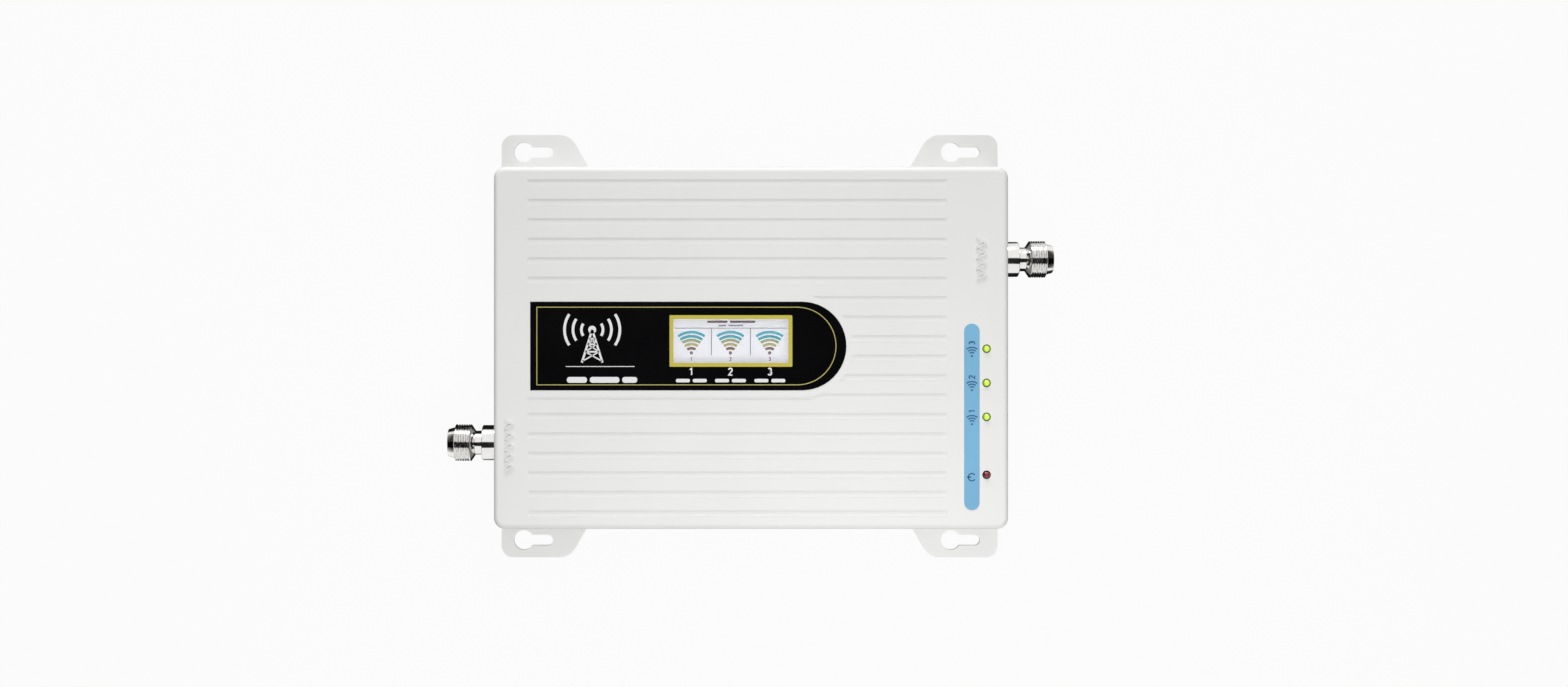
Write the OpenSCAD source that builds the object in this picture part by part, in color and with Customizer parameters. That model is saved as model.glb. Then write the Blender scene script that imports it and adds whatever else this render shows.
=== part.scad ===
// Three-band cellular signal booster: a ribbed front cover over a flat base plate with four
// keyhole ears, one N-type socket at each side, a display window and four status lamps.
// Lying on its back: X runs along the long side, Y along the short side, Z out of the front face.
// Origin: the centre of the base plate's underside. Millimetres.

/* [Housing] */
// Length of the front cover along X
body_w = 220; // [216:1:230]
// Width of the front cover along Y
body_d = 155; // [152:1:165]
// Height of the front face above the surface that the base plate lies on
body_h = 26; // [25:0.5:30]
// Thickness of the cover's walls and of its front
wall = 2.4; // [2:0.1:2.8]
// Radius of the cover's upright corners
corner_r = 4.8; // [4:0.1:6]
// Radius of the rounded edge around the front face
edge_r = 2.3; // [1.5:0.1:2.5]
// Thickness of the base plate
plate_t = 2; // [1.5:0.1:2.5]

/* [Cooling ribs] */
// Number of grooves across the front face
groove_count = 18; // [12:2:18]
// Distance from groove to groove
groove_pitch = 8.3; // [7.5:0.1:8.4]
// Width of one groove
groove_w = 2.9; // [2:0.1:3.5]
// Depth of one groove
groove_depth = 0.3; // [0.2:0.1:0.9]

/* [Wall ears] */
// Distance from the middle to the outer end of an ear, along Y
ear_reach = 93; // [90:0.5:96]
// Radius of a keyhole's round entry
keyhole_r = 4.35; // [4:0.05:4.6]
// Half width of a keyhole's slot
slot_r = 2.35; // [1.8:0.05:2.6]
// Distance from the middle of the entry to the middle of the slot's round end
slot_reach = 10.5; // [8:0.5:11]

/* [Sockets] */
// Height of the sockets' centre line
socket_z = 13; // [12.5:0.1:13.5]
// Place of the outdoor antenna socket along Y
outdoor_y = -41.5; // [-44:0.5:-38]
// Place of the indoor antenna socket along Y
indoor_y = 38; // [36:0.5:40]
// Radius of the socket's thread, over its crests
thread_r = 7.94; // [7.9:0.01:7.95]
// How far a socket stands out of the cover's wall
socket_reach = 20.9; // [20.5:0.1:22]

/* [Display panel] */
// Length of the black panel along X
panel_w = 134.8; // [130:0.2:138]
// Width of the black panel along Y, which is twice its round end's radius
panel_d = 37.7; // [34:0.1:38]
// Length of the display's window
window_w = 49.2; // [46:0.2:50]
// Width of the display's window
window_d = 18.8; // [16:0.2:19]

/* [Service] */
// Radial gap between a screw and the hole that it passes or turns into
screw_gap = 0.06; // [0.05:0.01:0.2]

/* [Hidden] */

$fn = 48;
// A cut runs this far past the face that it opens.
over = 1;

// Housing
plate_gap = 0.3;
cover_rim_z = plate_t + plate_gap;
ceiling_z = body_h - wall;
// How far the plate's edge lies inside the cover's outer face
plate_inset = 0.8;
plate_w = body_w - 2 * plate_inset;
plate_d = body_d - 2 * plate_inset;
tongue_top = 9.5;
tongue_gap = 0.1;
collar_gap = 0.15;

// Braces across the inside of the front. They and the bosses run a sink's depth into it.
brace_x = [-86, -64, 48, 72];
brace_w = 1.2;
brace_h = 2;
brace_inset = 2;
sink = 0.5;

// Raised arrow marks beside the sockets
indoor_mark_x = 98.3;
indoor_mark_w = 4.6;
indoor_mark_count = 4;
outdoor_mark_x = -103.3;
outdoor_mark_w = 4.2;
outdoor_mark_count = 5;
mark_pitch = 4.5;
mark_bar = 1.1;
mark_h = 0.6;
mark_sink = 0.3;

// Ears: their outer edges are flush with the plate's ends, and all keyholes point the same way
ear_base_w = 34.2;
ear_top_w = 25.5;
ear_outer_r = 5;
ear_inner_r = 8;
ear_foot_r = 3;
keyhole_x = [-99.4, 88.6];
keyhole_y = 85.4;

// Black panel and display
panel_x0 = -94.2;
panel_y = 0.85;
panel_t = 0.5;
panel_recess = 0.4;
panel_gap = 0.1;
panel_margin = 3;
display_x = -8.6;
display_y = 3;
frame_band = 1.6;
lens_w = window_w + 2 * frame_band + 0.8;
lens_d = window_d + 2 * frame_band + 0.8;
lens_t = 1.6;

// Status strip and lamps
strip_x = 94.2;
strip_y = -29.4;
strip_w = 6.5;
strip_len = 79.4;
strip_t = 0.3;
strip_recess = 0.15;
lamp_x = 100.5;
signal_y = [-29.4, -14.9, -0.3];
power_y = -54.1;
lamp_r = 1.5;
lamp_hole_r = 1.85;
lamp_flange_r = 1.9;
lamp_flange_h = 1;
lamp_tip_z = 27;
lamp_h = 5.3;
lamp_base_z = lamp_tip_z - lamp_h;
lamp_y = concat(signal_y, [power_y]);
lead_offset = 1.27;
lead_w = 0.5;
lead_end = 1;
spacer_r = 2.4;

// Grooved field of the front face
groove_x0 = -95.3;
groove_x1 = 83.4;

// Circuit board
pcb_t = 1.6;
tail_r = 0.65;
pcb_top = socket_z - tail_r - 0.05;
pcb_bottom = pcb_top - pcb_t;
pcb_x = 94;
pcb_lamp_x = 104.2;
pcb_lamp_y = [-61, 22];
pcb_y = 65;
standoff_at = [[-88, -58], [-88, 58], [88, -58], [88, 58], [0, -60], [0, 60], [-78, 0], [62, 0]];
standoff_r = 2.75;

// Fasteners, as radii, and the cross-shaped drive in their heads
m3_r = 1.5;
m3_clear_r = m3_r + 0.1;
m3_head_r = 2.75;
m3_head_h = 1.9;
drive_w = 0.6;
drive_depth = 0.9;
countersink_r = 3.1;
countersink_h = 1.6;
flat_head_r = 2.85;
flat_head_h = 1.4;
flat_head_z = 0.1;
pcb_screw_len = 6;
boss_r = 3.6;
boss_at = [[-99, -67], [99, -67], [-99, 67], [99, 67], [0, -70.4], [0, 70.4]];
cover_screw_end = 12;

// Shield cans and what they stand over, one column for each band
can_w = 38;
can_d = 24;
can_h = 3.6;
can_wall = 0.4;
can_corner_r = 1;
can_rim = 2.5;
lid_gap = 0.1;
lid_foot = 0.8;
can_x = [-52, -6, 40];
uplink_y = -40;
downlink_y = 42.5;
amplifier_dx = -8;
amplifier_size = [5, 5, 1];
filter_dx = 7;
filter_size = [3.8, 3.8, 1.3];

// Duplexers: three in a row beside each socket, each with four tuning holes
duplexer_size = [12, 7, 4.5];
duplexer_pitch = 9;
outdoor_duplexer_x = -81;
indoor_duplexer_x = 75;
tuning_hole_r = 0.7;
tuning_hole_pitch = 2.8;
tuning_hole_z = 2.4;

// Other parts on the board: where they stand, and their sizes
controller_at = [-68, 14];
controller_size = [10, 10, 1.4];
crystal_at = [-68, -6];
crystal_size = [11, 4.6, 3.5];
regulator_at = [[78, -20], [78, -52]];
regulator_size = [6.5, 6.2, 2.3];
inductor_at = [[66.5, -29], [66.5, -43.5]];
inductor_size = [10, 10, 5];
capacitor_at = [[88, -26], [88, -14], [88, -2]];
capacitor_r = 4;
capacitor_h = 8.5;

// Heat spreaders and their pads, under the cans
pad_t = 0.5;
pad_inset = 1;
spreader_w = 136;
spreader_d = 22;

// Sockets, measured along their centre line from the cover's outer wall
socket_bore_r = 4.05;
socket_bore_depth = 9;
mouth_bevel = 0.35;
contact_r = 1.52;
contact_bore_r = 0.82;
contact_bore_depth = 5;
contact_slot = [4.2, 0.26];
contact_back = 4.3;
contact_rear = -9;
tail_rear = -19;
collar_r = 7.6;
collar_end = 6;
collar_bevel = 0.4;
neck_r = 5.15;
neck_end = 9.1;
lip_r = [6.7, 5.9, 5.7];
lip_bevel = 0.2;
flange_w = 17.5;
flange_rear = -6.6;
flange_t = 2.2;
flange_pitch = 12.8;
bracket_t = 1.5;
bracket_w = 24;
bracket_top = 22.5;
bracket_foot = 11.5;
bracket_screw_u = -11.6;
bracket_screw_y = 8.5;
thread_pitch = 1.058;
thread_depth = 0.61;
thread_flank = 0.35;
thread_root_w = 0.2;
thread_turns = 6;
thread_lead = 0.2;
thread_start = 11.2;
notch_r = collar_r + 0.35;

// Power jack, its centre line parallel to X
jack_y = -41.7;
jack_z = 18;
jack_front = body_w / 2 - wall - plate_gap;
jack_len = 14.3;
jack_w = 9;
jack_h = 10.5;
jack_bore_r = 3.15;
jack_bore_depth = 10.3;
jack_pin_r = 1.05;
jack_pin_end_r = 0.65;
jack_pin_inset = 1.8;
jack_shank_r = 1.4;
jack_hole_r = 4.7;
jack_pin_tip = jack_front - jack_pin_inset;
jack_rear = jack_front - jack_len;
jack_bore_end = jack_front - jack_bore_depth;
// Leaf spring in the jack: its rolled root, its size, and the angle that it rises at
leaf_root_x = jack_bore_end + 0.6;
leaf_root_z = jack_z - jack_bore_r - 0.1;
leaf_root_r = 0.4;
leaf_rise = 5;
leaf_t = 0.3;
leaf_len = 8.2;
leaf_w = 2.4;
leaf_channel_w = 3.4;
leaf_channel_len = 9.7;
leaf_channel_floor = pcb_top + 1;
// Legs of the jack: their size across the jack, and where they pass the board
jack_leg_w = 2.4;
jack_leg_x = [jack_rear - 0.3, leaf_root_x - 0.1];
jack_lug_t = 0.6;
jack_leg_t = 0.5;
jack_leg_end = 1;

// Display module
lcd_board_w = 64;
lcd_board_d = 38;
lcd_board_t = 1.2;
lcd_standoff_h = 5.5;
lcd_board_z = pcb_top + lcd_standoff_h;
lcd_board_top = lcd_board_z + lcd_board_t;
post_low_r = 1.05;
post_r = 2.2;
post_top_r = 1.28;
post_cap_r = 2;
post_cap_h = 1.2;
bezel_w = 60;
bezel_d = 27;
bezel_h = 4.3;
bezel_t = 0.4;
bezel_lip = 0.8;
glass_w = 54;
glass_d = 24;
glass_t = 2;
glass_top = lcd_board_top + bezel_h - bezel_t - 0.1;
lcd_hole_at = [for (x = [-29, 29], y = [-16, 16]) [display_x + x, display_y + y]];

// Ribbon socket and its flip latch
zif_x = -50.5;
zif_len = 4.5;
zif_w = 16;
zif_ear = 1;
zif_ear_h = 2.3;
zif_deck = 3.1;
zif_base_h = 0.8;
zif_floor_h = 0.35;
zif_axis_x = zif_x - 3.9;
zif_axis_z = pcb_top + 1.52;
zif_pin_r = 0.35;
latch_t = 0.9;
latch_front = 2.1;
latch_rear = 0.4;

// Ribbon between the display and its socket: width, thickness, bend radius and the lines it follows
ribbon_w = 12;
ribbon_t = 0.14;
ribbon_r = 2;
ribbon_top_z = glass_top - glass_t + 0.5;
ribbon_low_z = pcb_top + zif_base_h + 0.1;
ribbon_start_x = display_x - glass_w / 2;
ribbon_drop_x = display_x - lcd_board_w / 2 - 2.4;
ribbon_end_x = zif_x - 2.6;

// Points along an arc about c, from angle a0 to a1, in n steps
function arc(c, r, a0, a1, n = 8) =
    [for (i = [0:n]) c + r * [cos(a0 + (a1 - a0) * i / n), sin(a0 + (a1 - a0) * i / n)]];

// Outline of a rectangle with round corners, about the origin
function rounded_rect(w, d, r, n = 8) = let (x = w / 2 - r, y = d / 2 - r) concat(
    arc([x, y], r, 0, 90, n), arc([-x, y], r, 90, 180, n),
    arc([-x, -y], r, 180, 270, n), arc([x, -y], r, 270, 360, n));

// Outline of the black panel: square at its left end and a half circle at its right end
function panel_outline(grow) = let (r = panel_d / 2 + grow, x = panel_x0 + panel_w - panel_d / 2)
    concat([[panel_x0 - grow, panel_y + r], [panel_x0 - grow, panel_y - r]],
        arc([x, panel_y], r, -90, 90, 24));

module rounded_slab(w, d, r, h) {
    linear_extrude(h) polygon(rounded_rect(w, d, r));
}

module box_at(centre, size) {
    translate([centre[0] - size[0] / 2, centre[1] - size[1] / 2, centre[2]]) cube(size);
}

// ---- Base plate -------------------------------------------------------------------------

// Edge of the ear at positive x and y, from its outer corner to its foot on the plate's long
// edge. Its inner side slopes back, and a hollow fillet joins it to that edge.
function ear_edge() = let (
    slope = atan2(ear_base_w - ear_top_w, ear_reach - body_d / 2),
    outer = [plate_w / 2 - ear_outer_r, ear_reach - ear_outer_r],
    inner = [plate_w / 2 - ear_top_w, ear_reach - ear_inner_r],
    side = inner + ear_inner_r * [cos(180 - slope), sin(180 - slope)],
    run = side[1] - plate_d / 2,
    foot = [side[0] - run * tan(slope) - ear_foot_r * tan((90 - slope) / 2), plate_d / 2 + ear_foot_r])
    concat(arc(outer, ear_outer_r, 0, 90), arc(inner, ear_inner_r, 90, 180 - slope),
        arc(foot, ear_foot_r, -slope, -90, 5));

// The points in the opposite order, mirrored by the factors in s
function flip(points, s) = [for (i = [len(points) - 1:-1:0]) [points[i][0] * s[0], points[i][1] * s[1]]];

// Outline of the whole plate: four ears joined by straight edges
function plate_outline() = let (edge = ear_edge())
    concat(edge, flip(edge, [-1, 1]), [for (p = edge) -p], flip(edge, [1, -1]));

module keyhole() {
    circle(r = keyhole_r);
    translate([slot_reach, 0]) circle(r = slot_r);
    translate([0, -slot_r]) square([slot_reach, 2 * slot_r]);
}

// Tongue bent up from the plate's end. It closes the cover's notch below a socket's collar.
module tongue() {
    w = 2 * (notch_r - plate_gap);
    difference() {
        translate([tongue_gap - wall, -w / 2, 0]) cube([wall - tongue_gap - plate_inset, w, tongue_top]);
        translate([-2 * wall, 0, socket_z])
            along_x() cylinder(r = collar_r + collar_gap, h = 3 * wall);
    }
}

// A countersunk M3 hole, its wide end on the underside
module countersink() {
    translate([0, 0, -over]) cylinder(r = m3_r + screw_gap, h = plate_t + 2 * over);
    translate([0, 0, -0.01]) cylinder(r1 = countersink_r, r2 = m3_r + screw_gap, h = countersink_h);
}

module base_plate() {
    color("whitesmoke") difference() {
        union() {
            linear_extrude(plate_t) polygon(plate_outline());
            translate([body_w / 2, indoor_y, 0]) tongue();
            translate([-body_w / 2, outdoor_y, 0]) mirror([1, 0, 0]) tongue();
        }
        for (x = keyhole_x, sy = [-1, 1])
            translate([x, sy * keyhole_y, -over]) linear_extrude(plate_t + 2 * over) keyhole();
        for (at = boss_at) translate(at) countersink();
        for (at = bracket_screw_at()) translate([at[0], at[1], -over])
            cylinder(r = m3_r + screw_gap, h = plate_t + 2 * over);
    }
}

// ---- Front cover ------------------------------------------------------------------------

// Outside of the cover: upright walls and a rounded edge around the front face
module cover_outside() {
    steps = 6;
    hull() {
        translate([0, 0, cover_rim_z])
            rounded_slab(body_w, body_d, corner_r, body_h - edge_r - cover_rim_z);
        for (i = [1:steps]) let (a = 90 * i / steps, inset = edge_r * (1 - cos(a)))
            translate([0, 0, body_h - edge_r * (1 - sin(a)) - 0.01])
                rounded_slab(body_w - 2 * inset, body_d - 2 * inset, corner_r - inset, 0.01);
    }
}

// Shallow cooling grooves. They stop around the black panel.
module grooves() {
    first = -(groove_count - 1) / 2 * groove_pitch;
    difference() {
        for (i = [0:groove_count - 1])
            translate([groove_x0, first + i * groove_pitch - groove_w / 2, body_h - groove_depth])
                cube([groove_x1 - groove_x0, groove_w, groove_depth + over]);
        translate([0, 0, body_h - over])
            linear_extrude(2 * over) polygon(panel_outline(panel_margin));
    }
}

// A row of raised arrow marks beside a socket, pointing the way the signal travels
module flow_marks(count, w) {
    half = mark_pitch * 0.38;
    translate([0, 0, body_h - mark_sink]) linear_extrude(mark_h + mark_sink)
        for (i = [0:count - 1]) translate([0, (i - (count - 1) / 2) * mark_pitch])
            polygon([[-w / 2, half], [-w / 2 + mark_bar, half], [w / 2, 0],
                [-w / 2 + mark_bar, -half], [-w / 2, -half], [w / 2 - mark_bar, 0]]);
}

// Opening in a side wall that lets the cover come down over a socket's collar
module socket_notch() {
    depth = wall + 2 * over;
    translate([-wall - over, 0, socket_z]) rotate([0, 90, 0]) cylinder(r = notch_r, h = depth);
    translate([-wall - over, -notch_r, 0]) cube([depth, 2 * notch_r, socket_z]);
}

module front_cover() {
    inner_w = body_w - 2 * wall;
    inner_d = body_d - 2 * wall;
    color("ghostwhite") difference() {
        union() {
            difference() {
                cover_outside();
                rounded_slab(inner_w, inner_d, corner_r - wall, ceiling_z);
                grooves();
                translate([0, 0, body_h - panel_recess])
                    linear_extrude(over) polygon(panel_outline(panel_gap));
                translate([strip_x, strip_y, body_h - strip_recess])
                    rounded_slab(strip_w + 2 * panel_gap, strip_len + 2 * panel_gap,
                        strip_w / 2 + panel_gap - 0.01, over);
            }
            translate([indoor_mark_x, indoor_y, 0]) flow_marks(indoor_mark_count, indoor_mark_w);
            translate([outdoor_mark_x, outdoor_y, 0]) flow_marks(outdoor_mark_count, outdoor_mark_w);
            for (at = boss_at) translate([at[0], at[1], cover_rim_z])
                cylinder(r = boss_r, h = ceiling_z - cover_rim_z + sink);
            for (x = brace_x)
                box_at([x, 0, ceiling_z - brace_h], [brace_w, inner_d - 2 * brace_inset, brace_h + sink]);
        }
        for (at = boss_at) translate([at[0], at[1], cover_rim_z - over])
            cylinder(r = m3_r + screw_gap, h = cover_screw_end + 2);
        box_at([display_x, display_y, ceiling_z - over],
            [lens_w + 2 * panel_gap, lens_d + 2 * panel_gap, wall + 2 * over]);
        for (y = lamp_y) translate([lamp_x, y, ceiling_z - over])
            cylinder(r = lamp_hole_r, h = wall + 2 * over);
        translate([body_w / 2, indoor_y, 0]) socket_notch();
        translate([-body_w / 2, outdoor_y, 0]) mirror([1, 0, 0]) socket_notch();
        translate([body_w / 2 - wall - over, jack_y, jack_z]) rotate([0, 90, 0])
            cylinder(r = jack_hole_r, h = wall + 2 * over);
    }
}

module label_overlay() {
    color("black") translate([0, 0, body_h - panel_recess]) linear_extrude(panel_t) difference() {
        polygon(panel_outline(0));
        translate([display_x - window_w / 2, display_y - window_d / 2]) square([window_w, window_d]);
    }
}

module lcd_window() {
    color("azure", 0.4)
        box_at([display_x, display_y, body_h - panel_recess - lens_t], [lens_w, lens_d, lens_t]);
}

module status_strip() {
    color("skyblue") translate([strip_x, strip_y, body_h - strip_recess])
        rounded_slab(strip_w, strip_len, strip_w / 2 - 0.01, strip_t);
}

// Flat-head screws that hold the base plate to the cover's bosses
module cover_screws() {
    color("silver") for (at = boss_at) translate(at) difference() {
        union() {
            translate([0, 0, flat_head_z]) cylinder(r1 = flat_head_r, r2 = m3_r, h = flat_head_h);
            translate([0, 0, flat_head_h / 2]) cylinder(r = m3_r, h = cover_screw_end - flat_head_h / 2);
        }
        for (a = [0, 90])
            rotate(a) box_at([0, 0, -over], [1.2 * flat_head_r, drive_w, drive_depth + over]);
    }
}

// ---- Status lamps -----------------------------------------------------------------------

// A 3 mm lamp: a flange, a straight body and a domed tip
module lamp(y, tint) {
    color(tint) translate([lamp_x, y, lamp_base_z]) {
        cylinder(r = lamp_flange_r, h = lamp_flange_h);
        cylinder(r = lamp_r, h = lamp_h - lamp_r);
        translate([0, 0, lamp_h - lamp_r]) sphere(r = lamp_r);
    }
}

// Places of the lamps' legs, two to a lamp
function lead_at() = [for (y = lamp_y, s = [-1, 1]) [lamp_x, y + s * lead_offset]];

// Square holes for the lamps' legs, through a body that spans the heights low to high
module lead_holes(low, high, gap) {
    for (at = lead_at())
        box_at([at[0], at[1], low - over], [lead_w + 2 * gap, lead_w + 2 * gap, high - low + 2 * over]);
}

module led_leads() {
    bottom = pcb_bottom - lead_end;
    color("silver") for (at = lead_at())
        box_at([at[0], at[1], bottom], [lead_w, lead_w, lamp_base_z - bottom]);
}

module led_spacers() {
    color("dimgray") difference() {
        for (y = lamp_y) translate([lamp_x, y, pcb_top])
            cylinder(r = spacer_r, h = lamp_base_z - pcb_top);
        lead_holes(pcb_top, lamp_base_z, 0.1);
    }
}

// ---- Circuit board ----------------------------------------------------------------------

module main_pcb() {
    color("seagreen") difference() {
        translate([0, 0, pcb_bottom]) linear_extrude(pcb_t) polygon([[-pcb_x, -pcb_y], [pcb_x, -pcb_y],
            [pcb_x, pcb_lamp_y[0]], [pcb_lamp_x, pcb_lamp_y[0]], [pcb_lamp_x, pcb_lamp_y[1]],
            [pcb_x, pcb_lamp_y[1]], [pcb_x, pcb_y], [-pcb_x, pcb_y]]);
        for (at = standoff_at) translate([at[0], at[1], pcb_bottom - over])
            cylinder(r = m3_clear_r, h = pcb_t + 2 * over);
        for (at = lcd_hole_at) translate([at[0], at[1], pcb_bottom - over])
            cylinder(r = post_low_r + 0.05, h = pcb_t + 2 * over);
        lead_holes(pcb_bottom, pcb_top, 0.15);
        for (x = jack_leg_x) box_at([x, jack_y, pcb_bottom - over],
            [jack_lug_t + 0.3, jack_leg_w + 0.4, pcb_t + 2 * over]);
    }
}

module pcb_standoffs() {
    color("silver") for (at = standoff_at) translate([at[0], at[1], plate_t]) difference() {
        cylinder(r = standoff_r, h = pcb_bottom - plate_t);
        translate([0, 0, 2]) cylinder(r = m3_r + screw_gap, h = pcb_bottom);
    }
}

// An M3 screw whose head stands on the plane z = 0 and whose shank reaches down
module pan_screw(length) {
    difference() {
        union() {
            cylinder(r1 = m3_head_r, r2 = m3_head_r - 0.5, h = m3_head_h);
            translate([0, 0, -length]) cylinder(r = m3_r, h = length + 0.1);
        }
        for (a = [0, 90])
            rotate(a) box_at([0, 0, m3_head_h - drive_depth],
                [1.2 * m3_head_r, drive_w, drive_depth + over]);
    }
}

module pcb_screws() {
    color("silver") for (at = standoff_at) translate([at[0], at[1], pcb_top])
        pan_screw(pcb_screw_len);
}

// Shield cans: a soldered fence, and a lid that presses over it
module shield_frame(x, y) {
    color("lightgray") translate([x, y, pcb_top]) difference() {
        rounded_slab(can_w, can_d, can_corner_r, can_h);
        translate([0, 0, -over]) rounded_slab(can_w - 2 * can_wall, can_d - 2 * can_wall,
            can_corner_r - can_wall, can_h - can_wall + over);
        translate([0, 0, can_h - over])
            rounded_slab(can_w - 2 * can_rim, can_d - 2 * can_rim, can_corner_r, 2 * over);
    }
}

module shield_lid(x, y) {
    skirt = can_h - lid_foot;
    outer = can_wall + lid_gap;
    color("gainsboro") translate([x, y, pcb_top + lid_foot]) difference() {
        rounded_slab(can_w + 2 * outer, can_d + 2 * outer, can_corner_r + can_wall, skirt + can_wall);
        translate([0, 0, -over])
            rounded_slab(can_w + 2 * lid_gap, can_d + 2 * lid_gap, can_corner_r + lid_gap, skirt + over);
    }
}

// Chips inside the cans, one of each kind under every can
module chips_in_cans(dx, size, tint) {
    color(tint) for (x = can_x, y = [uplink_y, downlink_y]) box_at([x + dx, y, pcb_top], size);
}

// Ceramic duplexers, one for each band, with their tuning holes along the block
module duplexers(x, y) {
    depth = duplexer_size[1] + 2 * over;
    color("gold") for (i = [-1:1]) translate([x, y + i * duplexer_pitch, pcb_top]) difference() {
        box_at([0, 0, 0], duplexer_size);
        for (j = [-1.5:1.5]) translate([j * tuning_hole_pitch, depth / 2, tuning_hole_z])
            rotate([90, 0, 0]) cylinder(r = tuning_hole_r, h = depth);
    }
}

module controller_chip() {
    color("darkslategray") box_at([controller_at[0], controller_at[1], pcb_top], controller_size);
}

module crystal() {
    color("silver") translate([crystal_at[0], crystal_at[1], pcb_top])
        rounded_slab(crystal_size[0], crystal_size[1], crystal_size[1] / 2 - 0.1, crystal_size[2]);
}

module voltage_regulators() {
    color("dimgray") for (at = regulator_at) box_at([at[0], at[1], pcb_top], regulator_size);
}

module power_inductors() {
    color("slategray") for (at = inductor_at) translate([at[0], at[1], pcb_top])
        rounded_slab(inductor_size[0], inductor_size[1], 2, inductor_size[2]);
}

module bulk_capacitors() {
    color("steelblue") for (at = capacitor_at) translate([at[0], at[1], pcb_top])
        cylinder(r = capacitor_r, h = capacitor_h);
}

// ---- Antenna sockets --------------------------------------------------------------------

// Places a socket's piece, drawn along +X from the wall, at the indoor or the outdoor side
module at_indoor() {
    translate([body_w / 2, indoor_y, socket_z]) children();
}

module at_outdoor() {
    translate([-body_w / 2, outdoor_y, socket_z]) mirror([1, 0, 0]) children();
}

// Turns a piece drawn about Z so that it lies along X
module along_x() {
    rotate([0, 90, 0]) children();
}

// Half the outline of the shell. The thread is a stack of rings at the thread's pitch.
function shell_outline() = let (
    end = thread_start + thread_turns * thread_pitch,
    low = thread_r - thread_depth,
    root_end = thread_flank + thread_root_w)
    concat(
        [[socket_bore_r, flange_rear], [collar_r, flange_rear], [collar_r, collar_end - collar_bevel],
            [collar_r - collar_bevel, collar_end], [neck_r, collar_end], [neck_r, neck_end],
            [thread_r, thread_start - thread_lead]],
        [for (i = [0:thread_turns - 1]) let (u = thread_start + i * thread_pitch)
            each [[thread_r, u], [low, u + thread_flank], [low, u + root_end],
                [thread_r, u + root_end + thread_flank]]],
        [[thread_r, end], [low, end + thread_flank], [lip_r[0], end + thread_flank],
            [lip_r[1], socket_reach - lip_bevel], [lip_r[2], socket_reach],
            [socket_bore_r + mouth_bevel, socket_reach], [socket_bore_r, socket_reach - mouth_bevel]]);

// The four corners of the square that a socket's flange screws sit on, as [y, z]
function flange_corners() = [for (y = [-1, 1], z = [-1, 1]) flange_pitch / 2 * [y, z]];

module connector_shell() {
    color("silver") difference() {
        union() {
            along_x() rotate_extrude() polygon(shell_outline());
            translate([flange_rear, 0, 0]) difference() {
                along_x() rounded_slab(flange_w, flange_w, 1.5, flange_t);
                along_x() translate([0, 0, -over]) cylinder(r = neck_r, h = flange_t + 2 * over);
            }
        }
        for (at = flange_corners()) translate([flange_rear - over, at[0], at[1]])
            along_x() cylinder(r = m3_clear_r, h = flange_t + 2 * over);
    }
}

// White bead that holds the centre contact in the shell
module connector_insulator() {
    color("snow") along_x() translate([0, 0, contact_rear]) difference() {
        cylinder(r = socket_bore_r - 0.05, h = socket_reach - socket_bore_depth - contact_rear);
        translate([0, 0, -over]) cylinder(r = contact_r + 0.03, h = socket_reach - contact_rear);
    }
}

// Slotted centre contact, and the thin tail that is soldered to the board
module connector_contact() {
    tip = socket_reach - contact_back;
    color("gold") difference() {
        union() {
            translate([contact_rear, 0, 0]) along_x() cylinder(r = contact_r, h = tip - contact_rear);
            translate([tail_rear, 0, 0])
                along_x() cylinder(r = tail_r, h = contact_rear - tail_rear + over);
        }
        translate([tip - contact_bore_depth, 0, 0])
            along_x() cylinder(r = contact_bore_r, h = contact_bore_depth + over);
        for (a = [0, 90]) rotate([a, 0, 0])
            translate([tip - contact_slot[0], -contact_slot[1] / 2, -contact_r - over])
                cube([contact_slot[0] + over, contact_slot[1], 2 * (contact_r + over)]);
    }
}

module connector_screws() {
    color("silver") for (at = flange_corners())
        translate([flange_rear, at[0], at[1]]) rotate([0, -90, 0]) pan_screw(flange_t + bracket_t);
}

// Angle bracket that carries a socket: an upright plate, and a foot screwed to the base plate
module bracket() {
    rear = flange_rear + flange_t;
    foot_x = rear + bracket_t - bracket_foot;
    color("lightsteelblue") translate([0, 0, -socket_z]) difference() {
        union() {
            translate([rear, -bracket_w / 2, plate_t])
                cube([bracket_t, bracket_w, bracket_top - plate_t]);
            translate([foot_x, -bracket_w / 2, plate_t]) cube([bracket_foot, bracket_w, bracket_t]);
        }
        translate([rear - over, 0, socket_z])
            along_x() cylinder(r = collar_r + 0.1, h = bracket_t + 2 * over);
        for (at = flange_corners()) translate([rear - over, at[0], socket_z + at[1]])
            along_x() cylinder(r = m3_r + screw_gap, h = bracket_t + 2 * over);
        for (y = [-1, 1]) translate([bracket_screw_u, y * bracket_screw_y, plate_t - over])
            cylinder(r = m3_clear_r, h = bracket_t + 2 * over);
    }
}

// Places of the four screws that hold the brackets to the base plate
function bracket_screw_at() = [for (s = [-1, 1], y = [-1, 1])
    [s * (body_w / 2 + bracket_screw_u), (s > 0 ? indoor_y : outdoor_y) + y * bracket_screw_y]];

module bracket_screws() {
    color("silver") for (at = bracket_screw_at()) translate([at[0], at[1], plate_t + bracket_t])
        pan_screw(bracket_t + plate_t - 0.2);
}

// ---- Power jack -------------------------------------------------------------------------

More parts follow.
